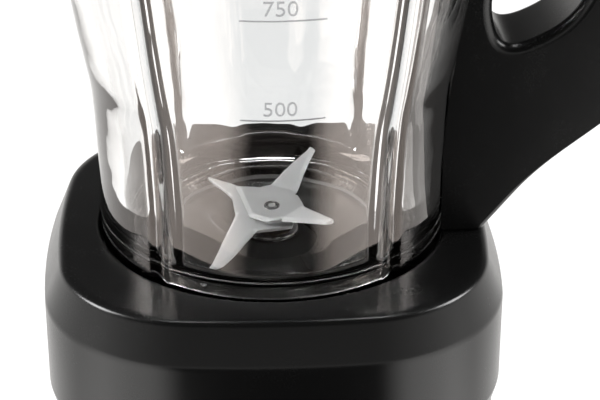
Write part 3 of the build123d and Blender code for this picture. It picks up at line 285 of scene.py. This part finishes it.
def make_jar():
    """The jar's wall as one closed skin: outside, rim, inside, floor ledge, recess and foot."""
    columns = 448
    up = np.concatenate([np.linspace(-18.6, 24, 16), np.linspace(27, 188.2, 70)])
    down = np.linspace(188.0, 13.0, 74)
    thick = np.interp(down, thick_heights, thick_walls)
    outside = np.stack([jar_radius(up), up], 1)
    inside = np.stack([jar_radius(down) - thick, down], 1)
    rim_middle = rim_radius - rim_half
    arc = np.linspace(0.12, math.pi - 0.12, 9)
    rim = np.stack([rim_middle + rim_half * np.cos(arc), 188.0 + 2.0 * np.sin(arc)], 1)
    bend = np.linspace(0, math.pi / 2, 10)
    across = inside[-1, 0] - floor_corner * (1 - np.cos(bend))
    corner = np.stack([across, floor_top + floor_corner * (1 - np.sin(bend))], 1)
    foot = [(floor_hole, floor_top), (floor_hole, ledge_low), (recess_radius, ledge_low),
            (recess_radius, foot_low), (foot_radius, foot_low), (49.0, floor_top)]
    ledge = rounded(foot, [1.6, 0.5, 0.8, 1.0, 1.3, 0], 6)[:-1]
    profile = np.concatenate([outside, rim, inside, corner, ledge])
    side = ["out"] * len(outside) + ["rim"] * len(rim) + ["in"] * (len(inside) + len(corner))
    side += ["foot"] * len(ledge)
    turn = np.linspace(0, TURN, columns, endpoint=False)
    rows = [jar_surface(turn, np.full(columns, r), np.full(columns, h), where)
            for (r, h), where in zip(profile, side)]
    radius = np.array(rows)
    height = np.repeat(profile[:, 1:2] + deck, columns, 1)
    points = np.stack([radius * np.cos(turn), radius * np.sin(turn), height], -1)
    faces = tube_faces(len(profile), columns)
    points = points.reshape(-1, 3)
    return mesh_object("jar_wall", points, faces, "jar", "jar_clear_glass", ["jar_glass"])


mark_turn = math.radians(-88.8)
mark_line = (0.6, 23.8, 0.5, 0.17)
digit_size, digit_relief, digit_place = 6.6, 0.085, (-0.2, 1.5, 0.06)
mark_heights = {"500": 58.5, "750": 90.0, "1000": 114.5, "1250": 136.6, "1500": 156.7}


def wrap_on_jar(flat, lift):
    """Bends flat points (across, up, out) round the jar's outside at the place of the marks."""
    radius = jar_radius(flat[:, 1]) + flat[:, 2] + lift
    turn = mark_turn + flat[:, 0] / jar_radius(flat[:, 1])
    return np.stack([radius * np.cos(turn), radius * np.sin(turn), flat[:, 1] + deck], 1)


def bar(across, up, width, height, depth, cells=24):
    """A thin bar on the flat: two long grids, front and back, joined round their edges."""
    x = across + width * np.linspace(-0.5, 0.5, cells)
    loop = np.array([(-0.5, 0.0), (-0.32, 1.0), (0.32, 1.0), (0.5, 0.0)])
    rise = up + height * loop[:, 0]
    rings = np.stack([np.stack([np.full(4, xi), rise, depth * loop[:, 1]], 1) for xi in x])
    faces = tube_faces(cells, 4, wrap_rows=False).tolist()
    last = 4 * (cells - 1)
    faces += [[3, 2, 1, 0], [last, last + 1, last + 2, last + 3]]
    return rings.reshape(-1, 3), faces


def make_marks():
    """Raised graduation lines and their numbers, all one thin relief on the front of the jar."""
    points, faces = [], []
    total = 0
    for height in mark_heights.values():
        across, width, thick, depth = mark_line
        flat, quads = bar(across, height, width, thick, depth)
        points.append(flat)
        faces += [[total + i for i in quad] for quad in quads]
        total += len(flat)
    for text, height in mark_heights.items():
        curve = bpy.data.curves.new("digits", "FONT")
        curve.body = text
        curve.size = digit_size
        curve.align_x = "CENTER"
        curve.extrude = digit_relief
        curve.offset = -0.02
        curve.resolution_u = 4
        holder = bpy.data.objects.new("digits", curve)
        mesh = bpy.data.meshes.new_from_object(holder)
        flat = np.zeros(len(mesh.vertices) * 3)
        mesh.vertices.foreach_get("co", flat)
        flat = flat.reshape(-1, 3) + digit_place + [0, height, 0]
        points.append(flat)
        faces += [[total + i for i in polygon.vertices] for polygon in mesh.polygons]
        total += len(flat)
        bpy.data.objects.remove(holder)
        bpy.data.curves.remove(curve)
        bpy.data.meshes.remove(mesh)
    wrapped = wrap_on_jar(np.concatenate(points), 0.02)
    return mesh_object("jar_marks", wrapped, faces, "jar", "jar_clear_glass", smooth=False)


# ---- blades ----


class Fold:
    """A wing's fold line on the flat pattern, its lift and the radius of its bend."""

    def __init__(self, left, right, tip, lift, bend):
        left, right, tip = (np.array(point, float) for point in (left, right, tip))
        self.middle = (left + right) / 2
        self.along = (right - left) / np.linalg.norm(right - left)
        self.out = np.array([-self.along[1], self.along[0]])
        self.half = np.linalg.norm(right - left) / 2
        self.lift = math.radians(lift)
        self.bend = bend
        self.tip = tip

    def raise_points(self, flat, height):
        """Rolls what lies beyond the fold round an arc, then on straight at the lift angle."""
        offset = flat - self.middle
        beyond = offset @ self.out + 0.5 * self.bend
        beside = offset @ self.along
        on_wing = (beyond > 0) & (np.abs(beside) < self.half + 9)
        radius = self.bend / self.lift
        turn = np.clip(beyond / radius, min(self.lift, 0), max(self.lift, 0))
        rest = beyond - turn * radius
        ahead = radius * np.sin(turn) + rest * np.cos(turn) - height * np.sin(turn)
        up = radius * (1 - np.cos(turn)) + rest * np.sin(turn) + height * np.cos(turn)
        moved = flat + np.outer(ahead - beyond, self.out)
        flat = np.where(on_wing[:, None], moved, flat)
        return flat, np.where(on_wing, up, height)


def edge_distance(points, start, end):
    """Distance of each point from a straight edge: to its nearest point, the ends included."""
    start, end = np.array(start, float), np.array(end, float)
    run = end - start
    share = np.clip((points - start) @ run / (run @ run), 0, 1)
    return np.linalg.norm(points - start - np.outer(share, run), axis=1)


def blade_mesh(name, outline, ground, folds, base, replaces):
    """A stamped blade: a flat pattern filled with fine triangles, its ground edges thinned, its wings
    rolled up or down at the folds. ground says, edge by edge, how wide and how deep it is ground."""
    spacing, rim_spacing = 0.42, 0.5
    edge_radius = 0.25
    outline = np.array(outline, float)
    closed = np.concatenate([outline, outline[:1]])
    edges = list(zip(closed[:-1], closed[1:]))
    counts = [max(2, int(np.linalg.norm(b - a) / rim_spacing)) for a, b in edges]
    steps = [np.linspace(0, 1, count, endpoint=False)[:, None] for count in counts]
    rim = np.concatenate([a + (b - a) * t for (a, b), t in zip(edges, steps)])
    low, high = outline.min(0), outline.max(0)
    x, y = np.meshgrid(np.arange(low[0], high[0], spacing), np.arange(low[1], high[1], spacing))
    inside = np.stack([x.ravel(), y.ravel()], 1)
    rim_gap = np.min([edge_distance(inside, a, b) for a, b in edges], axis=0)
    inside = inside[rim_gap > 0.2]
    count = len(rim)
    ring = [(i, (i + 1) % count) for i in range(count)]
    points = [Vector(point) for point in np.concatenate([rim, inside])]
    filled = delaunay_2d_cdt(points, ring, [], 1, 1e-5)
    flat = np.array([tuple(v) for v in filled[0]])
    triangles = np.array(filled[2])
    cut = np.full(len(flat), 0.0)
    edge_gap = np.full(len(flat), 9.0)
    for (a, b), (width, depth) in zip(edges, ground):
        gap = edge_distance(flat, a, b)
        edge_gap = np.minimum(edge_gap, gap)
        if width:
            cut = np.maximum(cut, depth * np.clip(1 - gap / width, 0, 1))
    near_edge = np.clip(1 - edge_gap / edge_radius, 0, 1) ** 2
    top = plate_thickness - np.maximum(cut, 0.12 * near_edge)
    bottom = 0.08 * near_edge
    placed = []
    for height in (top, bottom):
        sheet = flat.copy()
        for fold in folds:
            sheet, height = fold.raise_points(sheet, height)
        placed.append(np.column_stack([sheet, base + height]))
    total = len(flat)
    pairs = np.concatenate([triangles[:, [0, 1]], triangles[:, [1, 2]], triangles[:, [2, 0]]])
    keys = pairs[:, 0] * total + pairs[:, 1]
    border = pairs[~np.isin(keys, pairs[:, 1] * total + pairs[:, 0])]
    start, end = border[:, 0], border[:, 1]
    walls = np.column_stack([end, start, start + total, end + total])
    faces = triangles.tolist() + (triangles[:, ::-1] + total).tolist() + walls.tolist()
    points = np.concatenate(placed)
    piece = mesh_object(name, points, faces, "blades", "blade_steel", replaces)
    piece.data.set_sharp_from_angle(angle=math.radians(24))
    return piece


def make_blades():
    """Two stamped plates, two wings each: the upper wings rise, the lower ones fall."""
    far = Fold((-0.2, 13.1), (8.3, 8.4), (15.2, 27.2), 22, 1.6)
    near = Fold((10.2, -0.5), (3.0, -7.6), (17.6, -23.7), 20, 1.6)
    upper = [(-0.2, 13.1), (13.6, 26.7), (14.5, 27.6), (16.0, 26.3), (8.6, 9.3), (7.7, 8.3),
             (7.6, 6.6), (8.6, 5.6), (10.2, -0.5), (18.8, -22.3), (18.2, -23.9), (16.4, -23.4),
             (3.0, -7.6), (-1.3, -8.3), (-7.1, -4.5), (-11.3, 13.4), (-3.3, 11.8)]
    plain, thin, wide = (0.0, 0.0), (0.5, 0.35), (1.0, 0.7)
    edges = [thin, plain, plain, wide, plain, plain, plain, plain, thin,
             plain, plain, wide, thin, wide, wide, thin, plain]
    blade_mesh("upper_blades", upper, edges, [far, near], plate_low, ["upper_blade"])
    down = Fold((-5.3, -9.5), (-11.6, 0.8), (-19.2, -27.4), -14, 1.6)
    side = Fold((-12.6, 10.5), (-13.0, 20.5), (-20.8, 25.3), -4, 1.2)
    lower = [(-5.3, -9.5), (-17.9, -27.0), (-19.4, -27.6), (-20.4, -26.2), (-11.6, 0.8),
             (-12.6, 10.5), (-20.4, 24.3), (-20.9, 25.4), (-19.8, 25.6), (-13.0, 20.5),
             (-4.0, 12.0), (3.0, 9.0), (8.0, 2.0), (6.0, -7.0)]
    edges = [wide, plain, plain, wide, plain, thin, plain,
             plain, thin, thin, plain, plain, plain, plain]
    base = lower_plate_top - plate_thickness
    blade_mesh("lower_blades", lower, edges, [down, side], base, ["lower_blade"])


def lathe(name, profile, body, slot, replaces, columns=160):
    """A turned solid: a profile of radii and heights from axis to axis, closed by a fan at each end."""
    profile = np.array(profile, float)
    turn = np.linspace(0, TURN, columns, endpoint=False)
    rows = profile[1:-1]
    radius = np.repeat(rows[:, :1], columns, 1)
    height = np.repeat(rows[:, 1:], columns, 1)
    grid = np.stack([radius * np.cos(turn), radius * np.sin(turn), height], -1).reshape(-1, 3)
    ends = [(0, 0, profile[0, 1]), (0, 0, profile[-1, 1])]
    faces = tube_faces(len(rows), columns, wrap_rows=False).tolist()
    around = np.arange(columns)
    total, last = len(grid), columns * (len(rows) - 1)
    beyond = (around + 1) % columns
    faces += np.column_stack([np.full(columns, total), beyond, around]).tolist()
    faces += np.column_stack([np.full(columns, total + 1), last + around, last + beyond]).tolist()
    return mesh_object(name, np.concatenate([grid, ends]), faces, body, slot, replaces)


def make_blade_shaft():
    """The blade shaft: its body under the plates, its neck through them, a small centre mark on top."""
    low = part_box("blade_shaft")[0].z / MM
    body, neck = 3.95, 2.5
    shoulder = lower_plate_top - plate_thickness
    end = plate_top + 0.12
    corners = [(0, low), (body, low), (body, shoulder), (neck, shoulder), (neck, end),
               (1.15, end), (0.85, plate_top - 0.45), (0, plate_top - 0.5)]
    inner = rounded(corners[1:-1], [0, 0, 0, 0.25, 0.1, 0.1], 5)
    profile = np.concatenate([corners[:1], inner, corners[-1:]])
    lathe("shaft_of_blades", profile, "blades", "shaft_steel", ["blade_shaft"])


# ---- finishes: every slot's material, worked out from the object's own coordinates ----


class Value:
    """A number on a socket that takes arithmetic: each operation adds one Math node to the finish."""

    def __init__(self, paint, socket):
        self.paint = paint
        self.socket = socket

    def math(self, operation, *others, flip=False):
        values = [self, *others]
        if flip:
            values = values[::-1]
        return self.paint.node("ShaderNodeMath", {"operation": operation}, dict(enumerate(values)))

    def __add__(self, other):
        return self.math("ADD", other)

    def __sub__(self, other):
        return self.math("SUBTRACT", other)

    def __mul__(self, other):
        return self.math("MULTIPLY", other)

    def __truediv__(self, other):
        return self.math("DIVIDE", other)

    def __pow__(self, other):
        return self.math("POWER", other)

    def __rsub__(self, other):
        return self.math("SUBTRACT", other, flip=True)

    def __rtruediv__(self, other):
        return self.math("DIVIDE", other, flip=True)

    __radd__ = __add__
    __rmul__ = __mul__


class Nodes:
    """A node tree that grows by one call a node, and reads its own coordinates."""

    def __init__(self, tree):
        self.tree = tree

    def node(self, kind, settings, inputs, output=0):
        """Adds a node: its settings first, then its sockets, each from a value or another node."""
        made = self.tree.nodes.new(kind)
        for name, value in settings.items():
            if name == "stops":
                ramp = made.color_ramp.elements
                while len(ramp) < len(value):
                    ramp.new(0.5)
                for element, (place, level) in zip(ramp, value):
                    element.position = place
                    element.color = (*level, 1.0)
            else:
                setattr(made, name, value)
        for name, value in inputs.items():
            if isinstance(value, Value):
                self.tree.links.new(value.socket, made.inputs[name])
            else:
                made.inputs[name].default_value = value
        return None if output is None else Value(self, made.outputs[output])

    def place(self):
        """The object's own coordinates: on the surroundings, the direction of sight."""
        return self.node("ShaderNodeTexCoord", {}, {}, "Object")

    def split(self, vector):
        """The three parts of a vector."""
        first = self.node("ShaderNodeSeparateXYZ", {}, {0: vector}, 0)
        return first, *(Value(self, first.socket.node.outputs[part]) for part in (1, 2))

    def ramp(self, factor, *stops):
        return self.node("ShaderNodeValToRGB", {"stops": stops}, {0: factor}, 0)


class Paint(Nodes):
    """One finish: a Principled shader on its own socket values, and the nodes that vary it."""

    def __init__(self, name, **fixed):
        self.name = name
        self.material = bpy.data.materials.new(name)
        self.material.use_nodes = True
        super().__init__(self.material.node_tree)
        self.shader = self.tree.nodes["Principled BSDF"]
        for socket, value in fixed.items():
            self.shader.inputs[socket.replace("_", " ")].default_value = value
        self.here = self.place()

    def feed(self, **sockets):
        for socket, value in sockets.items():
            self.tree.links.new(value.socket, self.shader.inputs[socket.replace("_", " ")])
        return self

    def noise(self, scale, detail=3.0, rough=0.5, at=None):
        inputs = {"Vector": at or self.here, "Scale": scale, "Detail": detail, "Roughness": rough}
        return self.node("ShaderNodeTexNoise", {}, inputs, 0)

    def stretched(self, scale_x, scale_y, scale_z):
        """The object's coordinates with each direction scaled by its own factor."""
        factors = {0: self.here, 1: (scale_x, scale_y, scale_z)}
        return self.node("ShaderNodeVectorMath", {"operation": "MULTIPLY"}, factors, 0)

    def from_axis(self):
        """Distance from the motor axis and turn about it, in metres and radians."""
        axis = (axis_x * MM, axis_y * MM, 0.0)
        ends = {0: self.here, 1: axis}
        offset = self.node("ShaderNodeVectorMath", {"operation": "SUBTRACT"}, ends, 0)
        x, y, z = self.split(offset)
        return (x * x + y * y) ** 0.5, x.math("ARCTAN2", y), z

    def mix(self, factor, first, second):
        """Colour between two colours by a factor."""
        inputs = {0: factor, 6: (*first, 1.0) if isinstance(first, tuple) else first}
        inputs[7] = (*second, 1.0) if isinstance(second, tuple) else second
        return self.node("ShaderNodeMix", {"data_type": "RGBA"}, inputs, 2)

    def bump(self, height, distance, strength=1.0, under=None):
        inputs = {"Height": height, "Distance": distance, "Strength": strength}
        if under:
            inputs["Normal"] = under
        return self.node("ShaderNodeBump", {}, inputs, 0)


def shade(grey, tint=(1.0, 1.0, 1.0)):
    return tuple(grey * part for part in tint)


def moulded_plastic(name, dark, light, rough, grain=1900.0, depth=0.000012):
    """Moulded plastic: spark-textured skin, faint flow marks, and rubbed patches that shine more."""
    paint = Paint(name, Specular_IOR_Level=0.27)
    fine = paint.noise(grain, 4.0, 0.65)
    broad = paint.noise(16.0, 3.0, 0.55)
    rub = paint.noise(55.0, 5.0, 0.6)
    colour = paint.mix(broad * 0.7 + fine * 0.3, dark, light)
    gloss = rough - 0.09 * rub + 0.1 * fine
    return paint.feed(Base_Color=colour, Roughness=gloss, Normal=paint.bump(fine, depth))


def soft_rubber(name, dark, light, rough=0.78):
    """Moulded rubber: matte, a dusty bloom in broad patches and a very fine pebble."""
    paint = Paint(name, Specular_IOR_Level=0.35)
    pebble = paint.noise(1300.0, 5.0, 0.7)
    bloom = paint.noise(38.0, 4.0, 0.6)
    colour = paint.mix(bloom, dark, light)
    gloss = rough + 0.16 * bloom - 0.08
    return paint.feed(Base_Color=colour, Roughness=gloss, Normal=paint.bump(pebble, 0.00003))


def turned_metal(name, dark, light, rough, pitch=2600.0, depth=0.000006, metallic=1.0):
    """Turned metal: fine rings about the motor axis whose brightness and depth change ring by ring."""
    paint = Paint(name, Metallic=metallic, Anisotropic=0.8, Anisotropic_Rotation=0.25)
    radius, turn, height = paint.from_axis()
    ring = paint.node("ShaderNodeCombineXYZ", {}, {0: radius, 1: turn * 0.0006, 2: height}, 0)
    groove = paint.noise(pitch, 4.0, 0.7, at=ring)
    stain = paint.noise(90.0, 4.0, 0.55)
    colour = paint.mix(groove * 0.75 + stain * 0.25, dark, light)
    gloss = rough + 0.18 * groove + 0.08 * stain - 0.12
    return paint.feed(Base_Color=colour, Roughness=gloss, Normal=paint.bump(groove, depth))


def ground_metal(name, dark, light, rough, along=(40.0, 2600.0, 2600.0), depth=0.000004, metallic=1.0):
    """Ground metal: hair-fine straight scratches one way, and faint handling stains."""
    paint = Paint(name, Metallic=metallic)
    scratch = paint.noise(1.0, 5.0, 0.7, at=paint.stretched(*along))
    stain = paint.noise(120.0, 4.0, 0.55)
    colour = paint.mix(scratch * 0.6 + stain * 0.4, dark, light)
    gloss = rough + 0.14 * scratch + 0.08 * stain - 0.1
    return paint.feed(Base_Color=colour, Roughness=gloss, Normal=paint.bump(scratch, depth))


def cast_metal(name, dark, light, rough):
    """Cast metal: a sandy pitted skin with darker hollows."""
    paint = Paint(name, Metallic=0.85)
    sand = paint.noise(950.0, 6.0, 0.7)
    pits = paint.node("ShaderNodeTexVoronoi", {}, {"Vector": paint.here, "Scale": 620.0}, 0)
    colour = paint.mix(sand * 0.6 + pits * 0.5, dark, light)
    skin = paint.bump(sand + 0.5 * pits, 0.00006)
    return paint.feed(Base_Color=colour, Roughness=rough + 0.2 * sand - 0.1, Normal=skin)


def laminated_steel(name):
    """Stacked sheets 0.5 mm thick: each edge catches light between darker varnished joints."""
    paint = Paint(name, Metallic=0.7)
    radius, turn, height = paint.from_axis()
    sheet = (height * (TURN / 0.0005)).math("SINE") * 0.5 + 0.5
    rust = paint.noise(160.0, 5.0, 0.65)
    colour = paint.mix(sheet * 0.7 + rust * 0.3, (0.06, 0.055, 0.05), (0.34, 0.34, 0.35))
    gloss = 0.65 - 0.2 * sheet
    return paint.feed(Base_Color=colour, Roughness=gloss, Normal=paint.bump(sheet, 0.00008))


def wound_copper(name):
    """Enamelled wire wound in bundles: close strands, varnish pooled between them."""
    paint = Paint(name, Metallic=0.6, Coat_Weight=0.6, Coat_Roughness=0.2)
    radius, turn, height = paint.from_axis()
    drift = paint.noise(60.0, 3.0, 0.5)
    strand = ((radius + height) * (TURN / 0.0006) + drift * 9.0).math("SINE") * 0.5 + 0.5
    colour = paint.mix(strand * 0.75 + drift * 0.25, (0.11, 0.035, 0.012), (0.62, 0.26, 0.09))
    gloss = 0.5 - 0.2 * strand
    return paint.feed(Base_Color=colour, Roughness=gloss, Normal=paint.bump(strand, 0.00015))


def printed_board(name):
    """Lacquered board: copper tracks under green lacquer, laid out in a loose grid."""
    paint = Paint(name, Coat_Weight=0.5, Coat_Roughness=0.15)
    track = paint.node("ShaderNodeTexVoronoi", {"distance": "MANHATTAN", "feature": "F1"},
                       {"Vector": paint.here, "Scale": 420.0}, 0)
    lines = (track * 30.0).math("SINE") * 0.5 + 0.5
    weave = paint.noise(900.0, 3.0, 0.6)
    colour = paint.mix(lines * 0.8 + weave * 0.2, (0.012, 0.07, 0.03), (0.05, 0.26, 0.1))
    gloss = 0.35 + 0.15 * weave
    return paint.feed(Base_Color=colour, Roughness=gloss, Normal=paint.bump(lines, 0.00003))


def pressed_glass(name, tint, rough, wave, ior=1.5, glint=(1.0, 1.0, 1.0)):
    """Clear pressed glass or plastic: a slow ripple left by the mould and faint wiping marks."""
    paint = Paint(name, Transmission_Weight=1.0, IOR=ior, Specular_Tint=(*glint, 1.0))
    ripple = paint.noise(42.0, 2.0, 0.4)
    wipe = paint.noise(1.0, 4.0, 0.6, at=paint.stretched(70.0, 70.0, 240.0))
    colour = paint.mix(ripple, shade(0.985, tint), shade(1.0, tint))
    skin = paint.bump(ripple, wave)
    smear = (wipe - 0.5).math("MAXIMUM", 0.0)
    return paint.feed(Base_Color=colour, Roughness=smear * rough, Normal=skin)


painted = [
    moulded_plastic("satin_black", shade(0.002), shade(0.0034), 0.25, 1500.0, 0.000008),
    moulded_plastic("inner_black", shade(0.004), shade(0.007), 0.6, 900.0, 0.00003),
    soft_rubber("black_rubber", shade(0.010), shade(0.018)),
    soft_rubber("grey_silicone", shade(0.28), shade(0.42), 0.6),
    ground_metal("zinc_steel", (0.42, 0.43, 0.44), (0.7, 0.7, 0.68), 0.34),
    cast_metal("cast_aluminium", shade(0.34), shade(0.62), 0.5),
    turned_metal("bearing_bronze", (0.06, 0.048, 0.04), (0.14, 0.11, 0.09), 0.45),
    laminated_steel("core_steel"),
    wound_copper("winding_copper"),
    turned_metal("commutator_copper", (0.35, 0.14, 0.06), (0.75, 0.4, 0.22), 0.36, 1800.0),
    ground_metal("brush_brass", (0.45, 0.32, 0.12), (0.75, 0.58, 0.28), 0.35),
    soft_rubber("brush_carbon", shade(0.008), shade(0.03), 0.65),
    turned_metal("shaft_steel", shade(0.42), shade(0.72), 0.26),
    moulded_plastic("fan_nylon", (0.5, 0.48, 0.43), (0.62, 0.6, 0.55), 0.5, 1100.0),
    moulded_plastic("coupling_nylon", shade(0.01), shade(0.02), 0.55, 1000.0),
    turned_metal("trim_chrome", shade(0.38), shade(0.5), 0.26, 1500.0, 0.000001),
    moulded_plastic("switch_plastic", shade(0.02), shade(0.035), 0.45),
    moulded_plastic("pointer_white", shade(0.7), shade(0.8), 0.4, 1200.0),
    printed_board("board_green"),
    moulded_plastic("component_black", shade(0.015), shade(0.03), 0.4, 1400.0),
    pressed_glass("jar_clear_glass", (0.92, 0.916, 0.91), 0.04, 0.00012,
                  glint=(1.0, 0.87, 0.8)),
    pressed_glass("raised_marks", (0.64, 0.64, 0.65), 0.3, 0.0001),
    turned_metal("floor_steel", (0.16, 0.158, 0.155), (0.26, 0.257, 0.25), 0.2, 5200.0, 0.000001),
    ground_metal("blade_steel", shade(0.78), shade(0.96), 0.38, (1500.0, 240.0, 1500.0), 0.000003,
                 0.5),
    pressed_glass("cap_clear", (0.97, 0.985, 1.0), 0.1, 0.0002, 1.49),
]
finishes = {paint.name: paint for paint in painted}


def dress(piece, slot):
    """Gives a piece its slot's finish, on every face."""
    piece.data.materials.clear()
    piece.data.materials.append(finishes[slot].material)


# ---- studio: pale floor, soft boxes and camera ----


class Stage(Nodes):
    """The shader of the surroundings or the floor, which looks one way and lights another."""

    def __init__(self, owner):
        owner.use_nodes = True
        super().__init__(owner.node_tree)
        self.tree.nodes.clear()

    def straight_sight(self):
        """1 for a sight line that has gone straight or through glass, 0 once it has bounced."""
        diffuse = self.node("ShaderNodeLightPath", {}, {}, "Diffuse Depth")
        glossy = Value(self, diffuse.socket.node.outputs["Glossy Depth"])
        return (diffuse + glossy).math("LESS_THAN", 0.5)

    def close(self, output, lit, seen):
        """Ends the tree: what lights the object, and what stands behind it in a straight sight."""
        blend = self.node("ShaderNodeMixShader", {}, {0: self.straight_sight(), 1: lit, 2: seen})
        self.node(output, {}, {0: blend}, None)


def make_studio():
    """White surroundings and floor to look at, and darker ones to light by. The surroundings are bright
    low down and dark overhead, and the floor is bright on both sides of a dark strip in front."""
    bpy.context.scene.view_settings.view_transform = "Standard"
    warm = (1, 0.985, 0.965, 1)
    world = bpy.data.worlds.new("studio")
    bpy.context.scene.world = world
    sky = Stage(world)
    height = sky.split(sky.place())[2]
    levels = {"Value": height, "From Min": 0.02, "From Max": 0.4, "To Min": 1.1, "To Max": 0.04}
    level = sky.node("ShaderNodeMapRange", {"interpolation_type": "SMOOTHSTEP"}, levels)
    lit = sky.node("ShaderNodeBackground", {}, {"Color": warm, "Strength": level})
    seen = sky.node("ShaderNodeBackground", {}, {"Color": (1, 1, 1, 1), "Strength": 1.0})
    sky.close("ShaderNodeOutputWorld", lit, seen)

    mesh = bpy.data.meshes.new("floor")
    reach = 9.0
    corners = [(-reach, -reach, 0), (reach, -reach, 0), (reach, reach, 0), (-reach, reach, 0)]
    mesh.from_pydata(corners, [], [(0, 1, 2, 3)])
    floor = bpy.data.objects.new("floor", mesh)
    bpy.context.scene.collection.objects.link(floor)
    material = bpy.data.materials.new("floor_white")
    ground = Stage(material)
    x, y, z = ground.split(ground.place())
    share = x.math("ABSOLUTE").math("ARCTAN2", y * -1.0) / math.pi
    levels = [(0.0, 0.01), (0.11, 0.01), (0.2, 0.9), (0.38, 1.0), (0.5, 0.45), (1.0, 0.3)]
    sweep = ground.ramp(share, *((where, (level,) * 3) for where, level in levels))
    lit = ground.node("ShaderNodeEmission", {}, {"Color": warm, "Strength": sweep * 3.4})
    matte = ground.node("ShaderNodeBsdfDiffuse", {}, {"Color": (0.12, 0.12, 0.12, 1)})
    glow = ground.node("ShaderNodeEmission", {}, {"Strength": 0.8})
    seen = ground.node("ShaderNodeAddShader", {}, {0: matte, 1: glow})
    ground.close("ShaderNodeOutputMaterial", lit, seen)
    mesh.materials.append(material)


def soft_box(name, place, target, width, height, power):
    """A rectangular light at a place, facing a target, with its long side upright."""
    light = bpy.data.lights.new(name, "AREA")
    light.shape = "RECTANGLE"
    light.size = width
    light.size_y = height
    light.energy = power
    lamp = bpy.data.objects.new(name, light)
    bpy.context.scene.collection.objects.link(lamp)
    back = (Vector(place) - Vector(target)).normalized()
    lamp.matrix_world = Matrix.Translation(place) @ back.to_track_quat("Z", "Y").to_matrix().to_4x4()


def outward(swing, lift):
    """Unit vector to the front, swung to the right and lifted by two angles."""
    level = math.cos(lift)
    return Vector((math.sin(swing) * level, -math.cos(swing) * level, math.sin(lift)))


def make_camera():
    """A long lens looking down, with the deck's middle a little left of the view's centre and below it.
    The pitch and yaw that put it there come from a triangle whose sides are reach and rise."""
    aim = Vector((axis_x, axis_y, deck)) * MM
    distance = 0.635
    lift, swing = math.radians(27.72), math.radians(-1.5)
    lens, sensor = 121.6, 36
    width, off_left, off_down = 600, 28.1, 14.2
    across, up = (-off / (lens / sensor * width) for off in (off_left, off_down))
    reach, rise = math.sqrt(1 + across**2 + up**2), math.sqrt(1 + up**2)
    pitch = math.atan(up) + math.asin(math.sin(lift) * reach / rise)
    yaw = swing + math.atan2(across, math.cos(pitch) + up * math.sin(pitch))
    place = aim + distance * outward(swing, lift)
    back = outward(yaw, pitch)
    right = Vector((math.cos(yaw), math.sin(yaw), 0))
    top = back.cross(right)
    camera_data = bpy.data.cameras.new("camera")
    camera_data.lens = lens
    camera_data.sensor_width = sensor
    camera = bpy.data.objects.new("camera", camera_data)
    bpy.context.scene.collection.objects.link(camera)
    turn = Matrix((right, top, back)).transposed().to_4x4()
    camera.matrix_world = Matrix.Translation(place) @ turn
    bpy.context.scene.camera = camera


make_housing()
make_jar()
make_marks()
make_blades()
make_blade_shaft()

slot_of = {part["node"]: part["material_slot"] for part in frame["record"]["subparts"]}
for node, piece in frame["nodes"].items():
    dress(piece, slot_of[node])
for piece in bpy.data.objects:
    if piece.type == "MESH" and "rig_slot" in piece:
        dress(piece, "raised_marks" if piece.name == "jar_marks" else piece["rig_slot"])

make_studio()
box_aim = (0, 0, 0.12)
soft_box("left_box", (-1.0, 0.0, 0.75), box_aim, 0.5, 0.6, 26)
soft_box("right_box", (1.0, 0.0, 0.75), box_aim, 0.5, 0.6, 20)
soft_box("top_box", (0.0, 0.15, 1.3), (0, 0, 0.15), 0.5, 0.5, 26)
make_camera()
